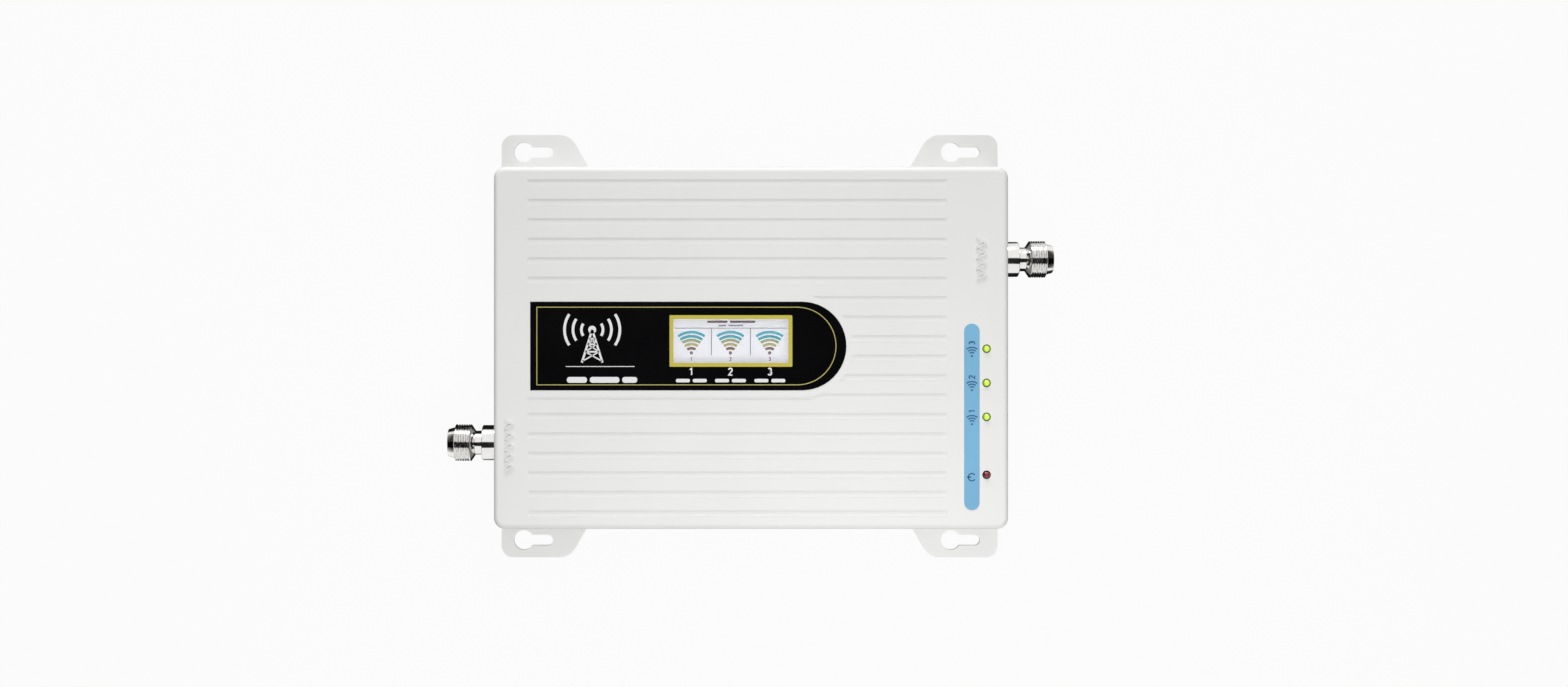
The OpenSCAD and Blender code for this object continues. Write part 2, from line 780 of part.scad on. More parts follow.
module dc_jack_housing() {
    color("dimgray") difference() {
        box_at([jack_front - jack_len / 2, jack_y, pcb_top], [jack_len, jack_w, jack_h]);
        translate([jack_bore_end, jack_y, jack_z])
            along_x() cylinder(r = jack_bore_r, h = jack_bore_depth + over);
        translate([jack_rear - over, jack_y, jack_z])
            along_x() cylinder(r = jack_shank_r + 0.02, h = jack_len - jack_bore_depth + 2 * over);
        // channel that the leaf spring lies in and bends into
        translate([jack_bore_end - 0.6, jack_y - leaf_channel_w / 2, leaf_channel_floor])
            cube([leaf_channel_len, leaf_channel_w, jack_z - leaf_channel_floor]);
        // way down for the leaf's leg
        box_at([jack_leg_x[1], jack_y, pcb_top - over],
            [jack_leg_t + 0.2, jack_leg_w + 0.2, leaf_channel_floor - pcb_top + 2 * over]);
    }
}

module dc_jack_pin() {
    bevel = 0.4;
    color("silver") translate([0, jack_y, jack_z]) along_x() {
        translate([0, 0, jack_rear]) cylinder(r = jack_shank_r, h = jack_bore_end - jack_rear);
        translate([0, 0, jack_bore_end - 0.1])
            cylinder(r = jack_pin_r, h = jack_pin_tip - bevel - jack_bore_end + 0.1);
        translate([0, 0, jack_pin_tip - bevel])
            cylinder(r1 = jack_pin_r, r2 = jack_pin_end_r, h = bevel);
    }
}

// Leaf spring on a rolled root. A plug's barrel pushes its free end down out of the bore.
module dc_jack_spring() {
    color("goldenrod") translate([leaf_root_x, jack_y, leaf_root_z]) {
        translate([0, leaf_w / 2, 0]) rotate([90, 0, 0]) cylinder(r = leaf_root_r, h = leaf_w);
        rotate([0, -leaf_rise, 0])
            translate([0, -leaf_w / 2, -leaf_t / 2]) cube([leaf_len, leaf_w, leaf_t]);
    }
}

module dc_jack_terminals() {
    foot = pcb_bottom - jack_leg_end;
    leaf_leg_top = leaf_root_z - leaf_root_r - 0.05;
    color("silver") {
        box_at([jack_leg_x[0], jack_y, foot], [jack_lug_t, jack_leg_w, jack_z + jack_shank_r + 0.2 - foot]);
        box_at([jack_leg_x[1], jack_y, foot], [jack_leg_t, jack_leg_w, leaf_leg_top - foot]);
    }
}

// ---- Display module ---------------------------------------------------------------------

module lcd_bezel() {
    inner = [bezel_w - 2 * bezel_t, bezel_d - 2 * bezel_t];
    color("silver") translate([display_x, display_y, lcd_board_top]) difference() {
        box_at([0, 0, 0], [bezel_w, bezel_d, bezel_h]);
        box_at([0, 0, -over], [inner[0], inner[1], bezel_h - bezel_t + over]);
        box_at([0, 0, bezel_h - over], [window_w + 2 * bezel_lip, window_d + 2 * bezel_lip, 2 * over]);
        // way out for the ribbon
        box_at([-bezel_w / 2, 0, -over], [2, ribbon_w + 1, bezel_h - 1 + over]);
    }
}

module lcd_glass() {
    color("aliceblue") {
        box_at([display_x, display_y, glass_top - glass_t], [glass_w, glass_d, glass_t]);
        box_at([display_x + 1, display_y, lcd_board_top],
            [glass_w - 4, glass_d - 2, glass_top - glass_t - lcd_board_top]);
    }
}

module lcd_board() {
    color("darkgreen") difference() {
        box_at([display_x, display_y, lcd_board_z], [lcd_board_w, lcd_board_d, lcd_board_t]);
        for (at = lcd_hole_at) translate([at[0], at[1], lcd_board_z - over])
            cylinder(r = post_top_r + 0.07, h = lcd_board_t + 2 * over);
    }
}

// Stepped posts: the narrow ends pass the two boards
module lcd_standoffs() {
    color("snow") for (at = lcd_hole_at) translate(at) {
        translate([0, 0, pcb_bottom - 0.8]) cylinder(r = post_low_r, h = pcb_t + 1);
        translate([0, 0, pcb_top]) cylinder(r = post_r, h = lcd_standoff_h);
        translate([0, 0, lcd_board_z - 0.1]) cylinder(r = post_top_r, h = lcd_board_t + 0.6);
        translate([0, 0, lcd_board_top]) cylinder(r1 = post_cap_r, r2 = post_top_r, h = post_cap_h);
    }
}

// The ribbon's outline from the side: out of the display, down past the board, into its socket
module ribbon_outline() {
    h = ribbon_t / 2;
    c1 = [ribbon_drop_x + ribbon_r, ribbon_top_z - ribbon_r];
    c2 = [ribbon_drop_x - ribbon_r, ribbon_low_z + ribbon_r];
    polygon(concat(
        [[ribbon_start_x, ribbon_top_z + h]], arc(c1, ribbon_r + h, 90, 180),
        arc(c2, ribbon_r - h, 0, -90), [[ribbon_end_x, ribbon_low_z + h]],
        [[ribbon_end_x, ribbon_low_z - h]], arc(c2, ribbon_r + h, -90, 0),
        arc(c1, ribbon_r - h, 180, 90), [[ribbon_start_x, ribbon_top_z - h]]));
}

module lcd_ribbon() {
    color("peru") translate([0, display_y + ribbon_w / 2, 0]) rotate([90, 0, 0])
        linear_extrude(ribbon_w) ribbon_outline();
}

module zif_socket() {
    color("ivory") difference() {
        union() {
            translate([zif_x - zif_deck, display_y - zif_w / 2, pcb_top])
                cube([zif_deck, zif_w, zif_base_h]);
            translate([zif_x - zif_len, display_y - zif_w / 2, pcb_top])
                cube([zif_len, zif_w, zif_floor_h]);
            for (s = [-1, 1])
                box_at([zif_x - zif_len / 2, display_y + s * (zif_w - zif_ear) / 2, pcb_top],
                    [zif_len, zif_ear, zif_ear_h]);
        }
        translate([zif_axis_x, display_y + zif_w / 2 + over, zif_axis_z]) rotate([90, 0, 0])
            cylinder(r = zif_pin_r + 0.06, h = zif_w + 2 * over);
    }
}

// Latch that clamps the ribbon. It turns up about the pins at its rear edge.
module zif_latch() {
    bar_w = zif_w - 2 * zif_ear - 0.6;
    color("saddlebrown") {
        translate([zif_axis_x - latch_rear, display_y - bar_w / 2, zif_axis_z - latch_t / 2])
            cube([latch_rear + latch_front, bar_w, latch_t]);
        translate([zif_axis_x, display_y + zif_w / 2 - 0.1, zif_axis_z]) rotate([90, 0, 0])
            cylinder(r = zif_pin_r, h = zif_w - 0.2);
    }
}

// ---- Cooling ----------------------------------------------------------------------------

module heat_spreaders() {
    color("silver") for (y = [uplink_y, downlink_y])
        box_at([can_x[1], y, plate_t], [spreader_w, spreader_d, pcb_bottom - pad_t - plate_t]);
}

module thermal_pads() {
    color("lightpink") for (y = [uplink_y, downlink_y])
        box_at([can_x[1], y, pcb_bottom - pad_t],
            [spreader_w - 2 * pad_inset, spreader_d - 2 * pad_inset, pad_t]);
}

base_plate();
front_cover();
label_overlay();
lcd_window();
status_strip();
for (i = [0:2])
    lamp(signal_y[i], "yellowgreen");
lamp(power_y, "brown");  // led_power
led_leads();
led_spacers();
main_pcb();
pcb_standoffs();
pcb_screws();
cover_screws();
at_outdoor() bracket();  // outdoor_bracket
at_indoor() bracket();  // indoor_bracket
bracket_screws();
at_outdoor() connector_shell();  // outdoor_connector_shell
at_outdoor() connector_insulator();  // outdoor_connector_insulator
at_outdoor() connector_contact();  // outdoor_connector_contact
at_outdoor() connector_screws();  // outdoor_connector_screws
at_indoor() connector_shell();  // indoor_connector_shell
at_indoor() connector_insulator();  // indoor_connector_insulator
at_indoor() connector_contact();  // indoor_connector_contact
at_indoor() connector_screws();  // indoor_connector_screws
for (i = [0:2]) {
    shield_frame(can_x[i], uplink_y);
    shield_frame(can_x[i], downlink_y);
    shield_lid(can_x[i], uplink_y);
    shield_lid(can_x[i], downlink_y);
}
chips_in_cans(amplifier_dx, amplifier_size, "darkslategray");  // power_amplifiers
chips_in_cans(filter_dx, filter_size, "goldenrod");  // band_filters
duplexers(outdoor_duplexer_x, outdoor_y);  // outdoor_duplexers
duplexers(indoor_duplexer_x, indoor_y);  // indoor_duplexers
controller_chip();
crystal();
voltage_regulators();
power_inductors();
bulk_capacitors();
dc_jack_housing();
dc_jack_pin();
dc_jack_spring();
dc_jack_terminals();
lcd_bezel();
lcd_glass();
lcd_board();
lcd_standoffs();
lcd_ribbon();
zif_socket();
zif_latch();
heat_spreaders();
thermal_pads();
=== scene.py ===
"""Looks for the cellular signal booster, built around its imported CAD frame.

Lengths are in millimetres, in the CAD model's frame. Shape.make() turns them into metres.
Only the floor and the lights are given in metres.
"""
import math
import random

import bmesh
import bpy
from mathutils import Matrix, Vector
from mathutils.geometry import tessellate_polygon


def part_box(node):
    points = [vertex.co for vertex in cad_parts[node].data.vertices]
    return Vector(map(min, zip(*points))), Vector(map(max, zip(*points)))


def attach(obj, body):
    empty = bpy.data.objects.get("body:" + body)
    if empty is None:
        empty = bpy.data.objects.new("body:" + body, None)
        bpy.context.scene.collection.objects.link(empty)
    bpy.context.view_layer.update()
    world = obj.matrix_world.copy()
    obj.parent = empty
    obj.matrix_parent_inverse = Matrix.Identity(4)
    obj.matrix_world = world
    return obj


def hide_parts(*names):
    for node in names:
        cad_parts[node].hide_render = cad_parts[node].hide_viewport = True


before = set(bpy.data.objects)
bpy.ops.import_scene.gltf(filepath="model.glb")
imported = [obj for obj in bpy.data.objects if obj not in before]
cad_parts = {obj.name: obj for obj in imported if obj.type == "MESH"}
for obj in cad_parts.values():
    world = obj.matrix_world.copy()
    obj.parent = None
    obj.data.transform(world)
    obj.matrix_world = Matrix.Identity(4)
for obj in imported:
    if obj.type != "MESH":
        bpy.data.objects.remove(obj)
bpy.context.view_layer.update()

MM = 0.001
CHASSIS, COVER = "chassis", "cover"
SIDES = (("outdoor", -1), ("indoor", 1))
LINKS = ("uplink", "downlink")
LAMPS = ("led_signal_1", "led_signal_2", "led_signal_3", "led_power")
LAMP_R, LAMP_FLANGE_R, LAMP_FLANGE_H = 1.5, 1.9, 1.0


# ---- Places, read from the frame ----

def corners(node):
    low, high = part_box(node)
    return low / MM, high / MM


def centre(node):
    low, high = corners(node)
    return (low + high) / 2


def size(node):
    low, high = corners(node)
    return high - low


# ---- Outlines: lists of (x, y) ----

def arc(cx, cy, r, start, end, n=12):
    """Points along an arc, its angles in degrees."""
    turns = [math.radians(start + (end - start) * i / n) for i in range(n + 1)]
    return [(cx + r * math.cos(a), cy + r * math.sin(a)) for a in turns]


def circle(cx, cy, r, n=24):
    return arc(cx, cy, r, 0, 360, n)[:-1]


def rectangle(cx, cy, w, d):
    x, y = w / 2, d / 2
    return [(cx - x, cy - y), (cx + x, cy - y), (cx + x, cy + y), (cx - x, cy + y)]


def rounded(cx, cy, w, d, r, n=6):
    """A rectangle with round corners."""
    x, y = w / 2 - r, d / 2 - r
    places = ((x, y, 0), (-x, y, 90), (-x, -y, 180), (x, -y, 270))
    return [p for px, py, a in places for p in arc(cx + px, cy + py, r, a, a + 90, n)]


def placed(points, at=(0, 0), turn=0, k=1):
    """Points made k times as large, turned by an angle in degrees and moved to at."""
    c, s = math.cos(math.radians(turn)) * k, math.sin(math.radians(turn)) * k
    return [(at[0] + c * x - s * y, at[1] + s * x + c * y) for x, y in points]


def sides_of(points, w):
    """The two edges of a stroke that is w wide and follows the points."""
    points = [Vector(p) for p in points]
    left, right = [], []
    for i, p in enumerate(points):
        before = (p - points[i - 1]).normalized() if i else None
        after = (points[i + 1] - p).normalized() if i + 1 < len(points) else before
        before = before or after
        along = before + after
        along = along.normalized() if along.length > 0.1 else before
        side = Vector((-along.y, along.x)) * w / 2 / max(0.6, along.dot(before))
        left.append(tuple(p + side))
        right.append(tuple(p - side))
    return left, right


# Strokes of the digits, one unit high
DIGITS = {
    "1": [[(0.08, 0.76), (0.34, 1.0), (0.34, 0.0)]],
    "2": [arc(0.28, 0.73, 0.25, 170, -35, 12) + [(0.03, 0.0), (0.56, 0.0)]],
    "3": [arc(0.27, 0.76, 0.22, 150, -90, 12), arc(0.27, 0.27, 0.26, 90, -150, 12)],
}


# ---- Mesh work ----

class Shape:
    """Collects closed solids, in millimetres, and turns them into one piece."""

    def __init__(self):
        self.verts = []
        self.faces = []
        self.at = Matrix()

    def loop(self, points):
        """Adds points, moved by the matrix at, and returns their numbers."""
        start = len(self.verts)
        self.verts += [tuple(self.at @ Vector(p)) for p in points]
        return list(range(start, len(self.verts)))

    def bridge(self, a, b, closed=True):
        """Faces between two loops with equally many points."""
        n = len(a)
        for i in range(n if closed else n - 1):
            j = (i + 1) % n
            self.faces.append((a[i], a[j], b[j], b[i]))

    def prism(self, outline, z0, z1):
        """An outline raised from z0 to z1."""
        low = self.loop([(x, y, z0) for x, y in outline])
        high = self.loop([(x, y, z1) for x, y in outline])
        self.bridge(low, high)
        self.faces += [tuple(reversed(low)), tuple(high)]
        return self

    def plate(self, outlines, z0, z1):
        """The area inside the first outline and outside the others, raised from z0 to z1."""
        lows, highs = [], []
        for outline in outlines:
            low = self.loop([(x, y, z0) for x, y in outline])
            high = self.loop([(x, y, z1) for x, y in outline])
            self.bridge(low, high)
            lows += low
            highs += high
        flat = [[Vector((x, y, 0)) for x, y in outline] for outline in outlines]
        for triangle in tessellate_polygon(flat):
            self.faces.append(tuple(lows[i] for i in triangle))
            self.faces.append(tuple(highs[i] for i in reversed(triangle)))
        return self

    def band(self, outer, inner, z0, z1, closed=True):
        """The strip between two outlines with equally many points, raised from z0 to z1."""
        edges = ((z0, outer), (z1, outer), (z1, inner), (z0, inner))
        loops = [self.loop([(x, y, z) for x, y in points]) for z, points in edges]
        for i in range(4):
            self.bridge(loops[i], loops[(i + 1) % 4], closed)
        if not closed:
            self.faces += [tuple(edge[0] for edge in loops), tuple(edge[-1] for edge in loops)]
        return self

    def stroke(self, points, w, z0, z1):
        return self.band(*sides_of(points, w), z0, z1, closed=False)

    def digit(self, mark, at, h, w, z0, z1, turn=0):
        """A digit h high, drawn in strokes w wide. Its lower left corner is at the point at."""
        for points in DIGITS[mark]:
            self.stroke(placed(points, at, turn, h), w, z0, z1)
        return self

    def box(self, cx, cy, z0, w, d, h):
        return self.prism(rectangle(cx, cy, w, d), z0, z0 + h)

    def revolve(self, profile, at=(0, 0), n=48, radius=None):
        """Turns a profile of (z, r) about an upright axis. An end at r = 0 comes to a point.

        radius(z, r, angle) may change each radius.
        """
        capped = profile[0][1] == 0
        rings = []
        for z, r in profile:
            if r == 0:
                rings.append(self.loop([(at[0], at[1], z)]))
                continue
            turns = [2 * math.pi * i / n for i in range(n)]
            radii = [radius(z, r, a) if radius else r for a in turns]
            ring = [(at[0] + q * math.cos(a), at[1] + q * math.sin(a), z) for a, q in zip(turns, radii)]
            rings.append(self.loop(ring))
        pairs = zip(rings, rings[1:] if capped else rings[1:] + rings[:1])
        for a, b in pairs:
            if len(a) == 1 or len(b) == 1:
                tip, ring = (a, b) if len(a) == 1 else (b, a)
                self.faces += [(ring[i], ring[(i + 1) % n], tip[0]) for i in range(n)]
            else:
                self.bridge(a, b)
        return self

    def make(self, name, material, body, slot, place=None, smooth=None, bevel=None, at=(0, 0, 0)):
        """Makes the piece. place moves its points, and at is where its own origin goes."""
        mesh = bpy.data.meshes.new(name)
        mesh.from_pydata(self.verts, [], self.faces)
        work = bmesh.new()
        work.from_mesh(mesh)
        bmesh.ops.transform(work, matrix=Matrix.Scale(MM, 4) @ (place or Matrix()), verts=work.verts)
        bmesh.ops.recalc_face_normals(work, faces=work.faces)
        work.to_mesh(mesh)
        work.free()
        obj = new_object(name, mesh)
        obj.location = Vector(at) * MM
        dress(obj, material)
        if smooth:
            mesh.shade_smooth()
            mesh.set_sharp_from_angle(angle=math.radians(smooth))
        if bevel:
            add_bevel(obj, bevel)
        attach(obj, body)
        return obj


def new_object(name, data):
    obj = bpy.data.objects.new(name, data)
    bpy.context.scene.collection.objects.link(obj)
    return obj


def dress(obj, material):
    obj.data.materials.clear()
    obj.data.materials.append(material)


def add_bevel(obj, width):
    bevel = obj.modifiers.new("soft_edges", "BEVEL")
    bevel.width = width * MM
    bevel.segments = 2
    bevel.limit_method = "ANGLE"
    bevel.angle_limit = math.radians(35)
    normals = obj.modifiers.new("even_normals", "WEIGHTED_NORMAL")
    normals.weight = 80
    normals.keep_sharp = False


def soften(node, material, width):
    """Gives a CAD node its material, and rounds its hard edges with modifiers."""
    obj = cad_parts[node]
    weld = obj.modifiers.new("join_corners", "WELD")
    weld.merge_threshold = 0.001 * MM
    flat = obj.modifiers.new("flat_faces", "DECIMATE")
    flat.decimate_type = "DISSOLVE"
    flat.angle_limit = math.radians(0.6)
    obj.data.shade_smooth()
    add_bevel(obj, width)
    dress(obj, material)


# ---- Materials ----

# Sockets of a colour Mix node
MIX_FACTOR, MIX_A, MIX_B, MIX_RESULT = 0, 6, 7, 2


def feed(tree, value, socket):
    """Gives an input its value, which may be another node's output."""
    if isinstance(value, bpy.types.NodeSocket):
        tree.links.new(value, socket)
    else:
        socket.default_value = value


def mixed(tree, factor, a, b, kind="MIX"):
    """Mixes two colours. The factor and the colours may be outputs or values."""
    node = tree.nodes.new("ShaderNodeMix")
    node.data_type, node.blend_type = "RGBA", kind
    for key, value in ((MIX_FACTOR, factor), (MIX_A, a), (MIX_B, b)):
        feed(tree, value, node.inputs[key])
    return node.outputs[MIX_RESULT]


def mapped(tree, source, start, end, low=0, high=1):
    """Maps start to low and end to high."""
    node = tree.nodes.new("ShaderNodeMapRange")
    for key, value in (("From Min", start), ("From Max", end), ("To Min", low), ("To Max", high)):
        node.inputs[key].default_value = value
    tree.links.new(source, node.inputs["Value"])
    return node.outputs["Result"]


def colour_ramp(tree, source, stops):
    """Colours along a value. stops are (place from 0 to 1, colour)."""
    node = tree.nodes.new("ShaderNodeValToRGB")
    elements = node.color_ramp.elements
    while len(elements) < len(stops):
        elements.new(0.5)
    for element, (at, colour) in zip(elements, stops):
        element.position = at
        element.color = (*colour, 1)
    tree.links.new(source, node.inputs["Fac"])
    return node.outputs["Color"]


class Surface:
    """A material under construction, with short ways to add its nodes."""

    def __init__(self, name):
        self.material = bpy.data.materials.new(name)
        self.material.use_nodes = True
        self.tree = self.material.node_tree
        self.shader = self.tree.nodes["Principled BSDF"]
        self.place = self.add("ShaderNodeTexCoord").outputs["Object"]

    def add(self, kind, **values):
        node = self.tree.nodes.new(kind)
        for key, value in values.items():
            setattr(node, key, value)
        return node

    def link(self, a, b):
        self.tree.links.new(a, b)

    def noise(self, scale, detail=3.0, stretch=None, rough=0.5):
        """Noise with scale features a metre, or stretched by a factor along each axis."""
        node = self.add("ShaderNodeTexNoise")
        node.inputs["Scale"].default_value = scale
        node.inputs["Detail"].default_value = detail
        node.inputs["Roughness"].default_value = rough
        source = self.place
        if stretch:
            mapping = self.add("ShaderNodeMapping")
            mapping.inputs["Scale"].default_value = stretch
            self.link(source, mapping.inputs["Vector"])
            source = mapping.outputs["Vector"]
        self.link(source, node.inputs["Vector"])
        return node.outputs["Fac"]

    def work_out(self, operation, *values):
        """The result of a Math node. Each value may be an output or a number."""
        node = self.add("ShaderNodeMath", operation=operation)
        for value, socket in zip(values, node.inputs):
            feed(self.tree, value, socket)
        return node.outputs[0]

    def stripes(self, axis, pitch):
        """0 to 1 and back across each stripe, with one stripe every pitch millimetres."""
        half = pitch * MM / 2
        split = self.add("ShaderNodeSeparateXYZ")
        self.link(self.place, split.inputs[0])
        return self.spread(self.work_out("PINGPONG", split.outputs[axis], half), 0, 1, 0, half)

    def distance(self, scale):
        """Distance from the piece's own origin, after each axis is scaled."""
        scaled = self.add("ShaderNodeVectorMath", operation="MULTIPLY")
        scaled.inputs[1].default_value = scale
        self.link(self.place, scaled.inputs[0])
        length = self.add("ShaderNodeVectorMath", operation="LENGTH")
        self.link(scaled.outputs[0], length.inputs[0])
        return length.outputs["Value"]

    def ramp(self, source, stops):
        return colour_ramp(self.tree, source, stops)

    def spread(self, source, low, high, start=0.3, end=0.7):
        return mapped(self.tree, source, start, end, low, high)

    def bump(self, height, strength, depth, under=None):
        """Raises the surface by up to depth millimetres."""
        node = self.add("ShaderNodeBump")
        node.inputs["Strength"].default_value = strength
        node.inputs["Distance"].default_value = depth * MM
        self.link(height, node.inputs["Height"])
        if under:
            self.link(under, node.inputs["Normal"])
        return node.outputs["Normal"]

    def drive(self, key, source):
        self.link(source, self.shader.inputs[key])

    def set(self, **values):
        for key, value in values.items():
            self.shader.inputs[key.replace("_", " ")].default_value = value


def shade(colour, k):
    return tuple(min(1.0, c * k) for c in colour)


def mottled(s, colour, vary, scale, detail=4):
    """A colour that drifts lighter and darker in patches."""
    tone = s.noise(scale, detail)
    return s.ramp(tone, [(0.3, shade(colour, 1 - vary)), (0.7, shade(colour, 1 + vary))])


def surface(name, colour, rough, metal=0.0, vary=0.05, patch=60, grain=900, depth=0.01,
            stretch=None, coat=0.0, rough_vary=0.06):
    """A surface with faint patches of tone, a fine grain, and roughness that follows the grain."""
    s = Surface(name)
    s.drive("Base Color", mottled(s, colour, vary, patch))
    fine = s.noise(grain, 3, stretch)
    s.drive("Roughness", s.spread(fine, max(0.02, rough - rough_vary), rough + rough_vary))
    s.drive("Normal", s.bump(fine, 0.6, depth))
    s.set(Metallic=metal, Coat_Weight=coat)
    return s.material


def white_paint(name, colour):
    """Baked paint: a fine orange peel with a finer speckle on it, and faint dusty patches."""
    s = Surface(name)
    s.drive("Base Color", mottled(s, colour, 0.012, 22, 5))
    peel = s.bump(s.noise(700, 2), 0.35, 0.02)
    s.drive("Normal", s.bump(s.noise(5200, 2), 0.25, 0.006, peel))
    s.drive("Roughness", s.spread(s.noise(90, 4), 0.42, 0.52))
    s.set(Specular_IOR_Level=0.4)
    return s.material


def turned_nickel():
    """Bright nickel turned on a lathe: fine rings along X, and faint haze."""
    s = Surface("bright_nickel_turned")
    haze = s.noise(260, 4)
    s.drive("Base Color", s.ramp(haze, [(0.3, (0.80, 0.79, 0.77)), (0.7, (0.87, 0.865, 0.85))]))
    s.drive("Normal", s.bump(s.noise(1.0, 4, (9000, 0.02, 0.02)), 0.25, 0.004))
    s.drive("Roughness", s.spread(haze, 0.07, 0.13))
    s.set(Metallic=1.0)
    return s.material


def printed_film(name, colour, rough, coat):
    """Printed film: a velvet grain and slight handling haze."""
    s = Surface(name)
    s.drive("Base Color", mottled(s, colour, 0.05, 35))
    s.drive("Roughness", s.spread(s.noise(45, 6, rough=0.65), rough - 0.03, rough + 0.05))
    s.drive("Normal", s.bump(s.noise(3500, 2), 0.2, 0.003))
    s.set(Coat_Weight=coat, Coat_Roughness=0.05, Specular_IOR_Level=0.35)
    return s.material


def ink(name, colour, glow=0.0, rough=0.35, metal=0.0, dots=False):
    """Printed ink, slightly uneven. With glow it is lit from behind, and with dots it has pixels."""
    s = Surface(name)
    grain = s.noise(2600, 3)
    tone = s.ramp(grain, [(0.3, shade(colour, 0.94)), (0.7, shade(colour, 1.05))])
    if dots:
        grid = s.work_out("MINIMUM", s.stripes("X", 0.2), s.stripes("Y", 0.2))
        pixels = s.ramp(grid, [(0.0, (0.4, 0.4, 0.4)), (0.3, (1, 1, 1))])
        tone = mixed(s.tree, 0.25, tone, pixels, "MULTIPLY")
    s.drive("Base Color", tone)
    s.drive("Roughness", s.spread(grain, rough - 0.05, rough + 0.07))
    s.drive("Normal", s.bump(grain, 0.3, 0.004))
    s.set(Metallic=metal)
    if glow:
        s.drive("Emission Color", tone)
        s.set(Emission_Strength=glow)
    return s.material


def lamp_resin(name, core, rim, glow):
    """Tinted resin, glowing brightest over the chip on its piece's own axis. The same ramp also sets the
    base colour: lighter in the middle as a painted highlight, darker towards the rim and the flange as
    painted shade in the hole.
    """
    s = Surface(name)
    outward = s.spread(s.distance((1, 1, 0)), 0, 1, 0, LAMP_FLANGE_R * MM)
    radius_for_glow_and_painted_shade = s.work_out("ADD", outward, s.spread(s.noise(900, 2), -0.05, 0.05))
    # Bright core to dark rim: the chip's glow, with a painted highlight in the middle and painted shade
    # on the dome's sides and the flange.
    stops = [(0.0, core), (0.42, shade(core, 0.85)), (0.74, rim), (1.0, shade(rim, 0.35))]
    tone = s.ramp(radius_for_glow_and_painted_shade, stops)
    s.drive("Base Color", tone)
    s.drive("Emission Color", tone)
    s.drive("Roughness", s.spread(s.noise(1500, 2), 0.08, 0.16))
    s.set(Emission_Strength=glow, Coat_Weight=0.6, Coat_Roughness=0.03)
    return s.material


def clear_acrylic():
    s = Surface("clear_acrylic")
    haze = s.noise(60, 5)
    s.drive("Roughness", s.spread(haze, 0.01, 0.05))
    s.drive("Normal", s.bump(haze, 0.05, 0.002))
    s.drive("Base Color", s.ramp(haze, [(0.3, (0.96, 0.98, 0.98)), (0.7, (0.99, 1, 1))]))
    s.set(Transmission_Weight=1.0, IOR=1.3)
    return s.material


def solder_mask():
    """Green solder mask: glass cloth shows faintly through it, and the copper pour is lighter."""
    s = Surface("green_solder_mask")
    pour = s.noise(38, 2)
    s.drive("Base Color", s.ramp(pour, [(0.46, (0.008, 0.085, 0.035)), (0.49, (0.012, 0.135, 0.055))]))
    weave = s.work_out("MULTIPLY", s.stripes("X", 0.6), s.stripes("Y", 0.6))
    cloth = s.bump(weave, 0.15, 0.01)
    s.drive("Normal", s.bump(pour, 0.5, 0.02, cloth))
    s.drive("Roughness", s.spread(s.noise(500, 3), 0.28, 0.4))
    s.set(Coat_Weight=0.3, Coat_Roughness=0.15)
    return s.material


def ribbon_film():
    """Amber film with copper tracks running along it."""
    s = Surface("amber_ribbon_film")
    track = s.stripes("Y", 0.5)
    s.drive("Base Color", s.ramp(track, [(0.45, (0.50, 0.20, 0.03)), (0.55, (0.62, 0.30, 0.09))]))
    s.drive("Roughness", s.spread(s.noise(800, 3), 0.22, 0.34))
    s.drive("Normal", s.bump(track, 0.4, 0.02))
    s.set(Coat_Weight=0.5)
    return s.material


PAINT = white_paint("white_paint", (0.80, 0.80, 0.788))
# The cover and the base plate wear one white paint; the plate's copy is set lighter, as painted light on
# the plate and its ears.
PLATE_PAINT_LIGHTENED = white_paint("plate_paint", (0.88, 0.88, 0.868))
NICKEL = turned_nickel()
BLACK_FILM = printed_film("black_panel_film", (0.002, 0.002, 0.0025), 0.16, 0.12)
BLUE_FILM = printed_film("blue_strip_film", (0.195, 0.455, 0.675), 0.38, 0.1)
GOLD_INK = ink("gold_ink", (0.48, 0.43, 0.12), rough=0.4)
FRAME_INK = ink("yellow_gold_ink", (0.57, 0.49, 0.06), rough=0.35)
WHITE_INK = ink("white_ink", (0.80, 0.80, 0.80))
BLUE_INK = ink("dark_blue_ink", (0.03, 0.13, 0.27), rough=0.45)
SILK_INK = ink("silkscreen_ink", (0.62, 0.62, 0.58), rough=0.55)
STEEL = surface("zinc_plated_steel", (0.62, 0.62, 0.60), 0.3, 1.0, 0.08, 300)
TIN = surface("bright_tin", (0.70, 0.69, 0.66), 0.28, 1.0, 0.06, 200)
SOLDER = surface("solder", (0.66, 0.66, 0.65), 0.22, 1.0, 0.08, 900, grain=2500)
BRASS_NICKEL = surface("nickelled_brass", (0.68, 0.64, 0.54), 0.25, 1.0, 0.06, 300)
PLATED = surface("bright_plated_pin", (0.78, 0.77, 0.74), 0.12, 1.0, 0.04, 300)
GOLD = surface("gold_plate", (0.80, 0.58, 0.20), 0.18, 1.0, 0.05, 400)
BRONZE = surface("spring_bronze", (0.62, 0.38, 0.16), 0.27, 1.0, 0.08, 400, stretch=(1, 8, 1))
PTFE = surface("white_ptfe", (0.82, 0.82, 0.80), 0.42, vary=0.015, grain=1800)
SHIELD = surface("shield_tinplate", (0.66, 0.66, 0.65), 0.3, 1.0, 0.07, 55, grain=500,
                 stretch=(1, 9, 1))
BEZEL = surface("bezel_steel", (0.58, 0.585, 0.60), 0.33, 1.0, 0.06, 90, stretch=(8, 1, 1))
ALUMINIUM = surface("extruded_aluminium", (0.74, 0.74, 0.75), 0.36, 1.0, 0.05, 40, depth=0.03,
                    stretch=(0.06, 3, 3))
CAN_TOP = surface("capacitor_aluminium", (0.76, 0.76, 0.77), 0.26, 1.0, 0.05, 300)
CAN_SLEEVE = surface("capacitor_sleeve", (0.012, 0.016, 0.035), 0.3, vary=0.1, patch=120, coat=0.4)
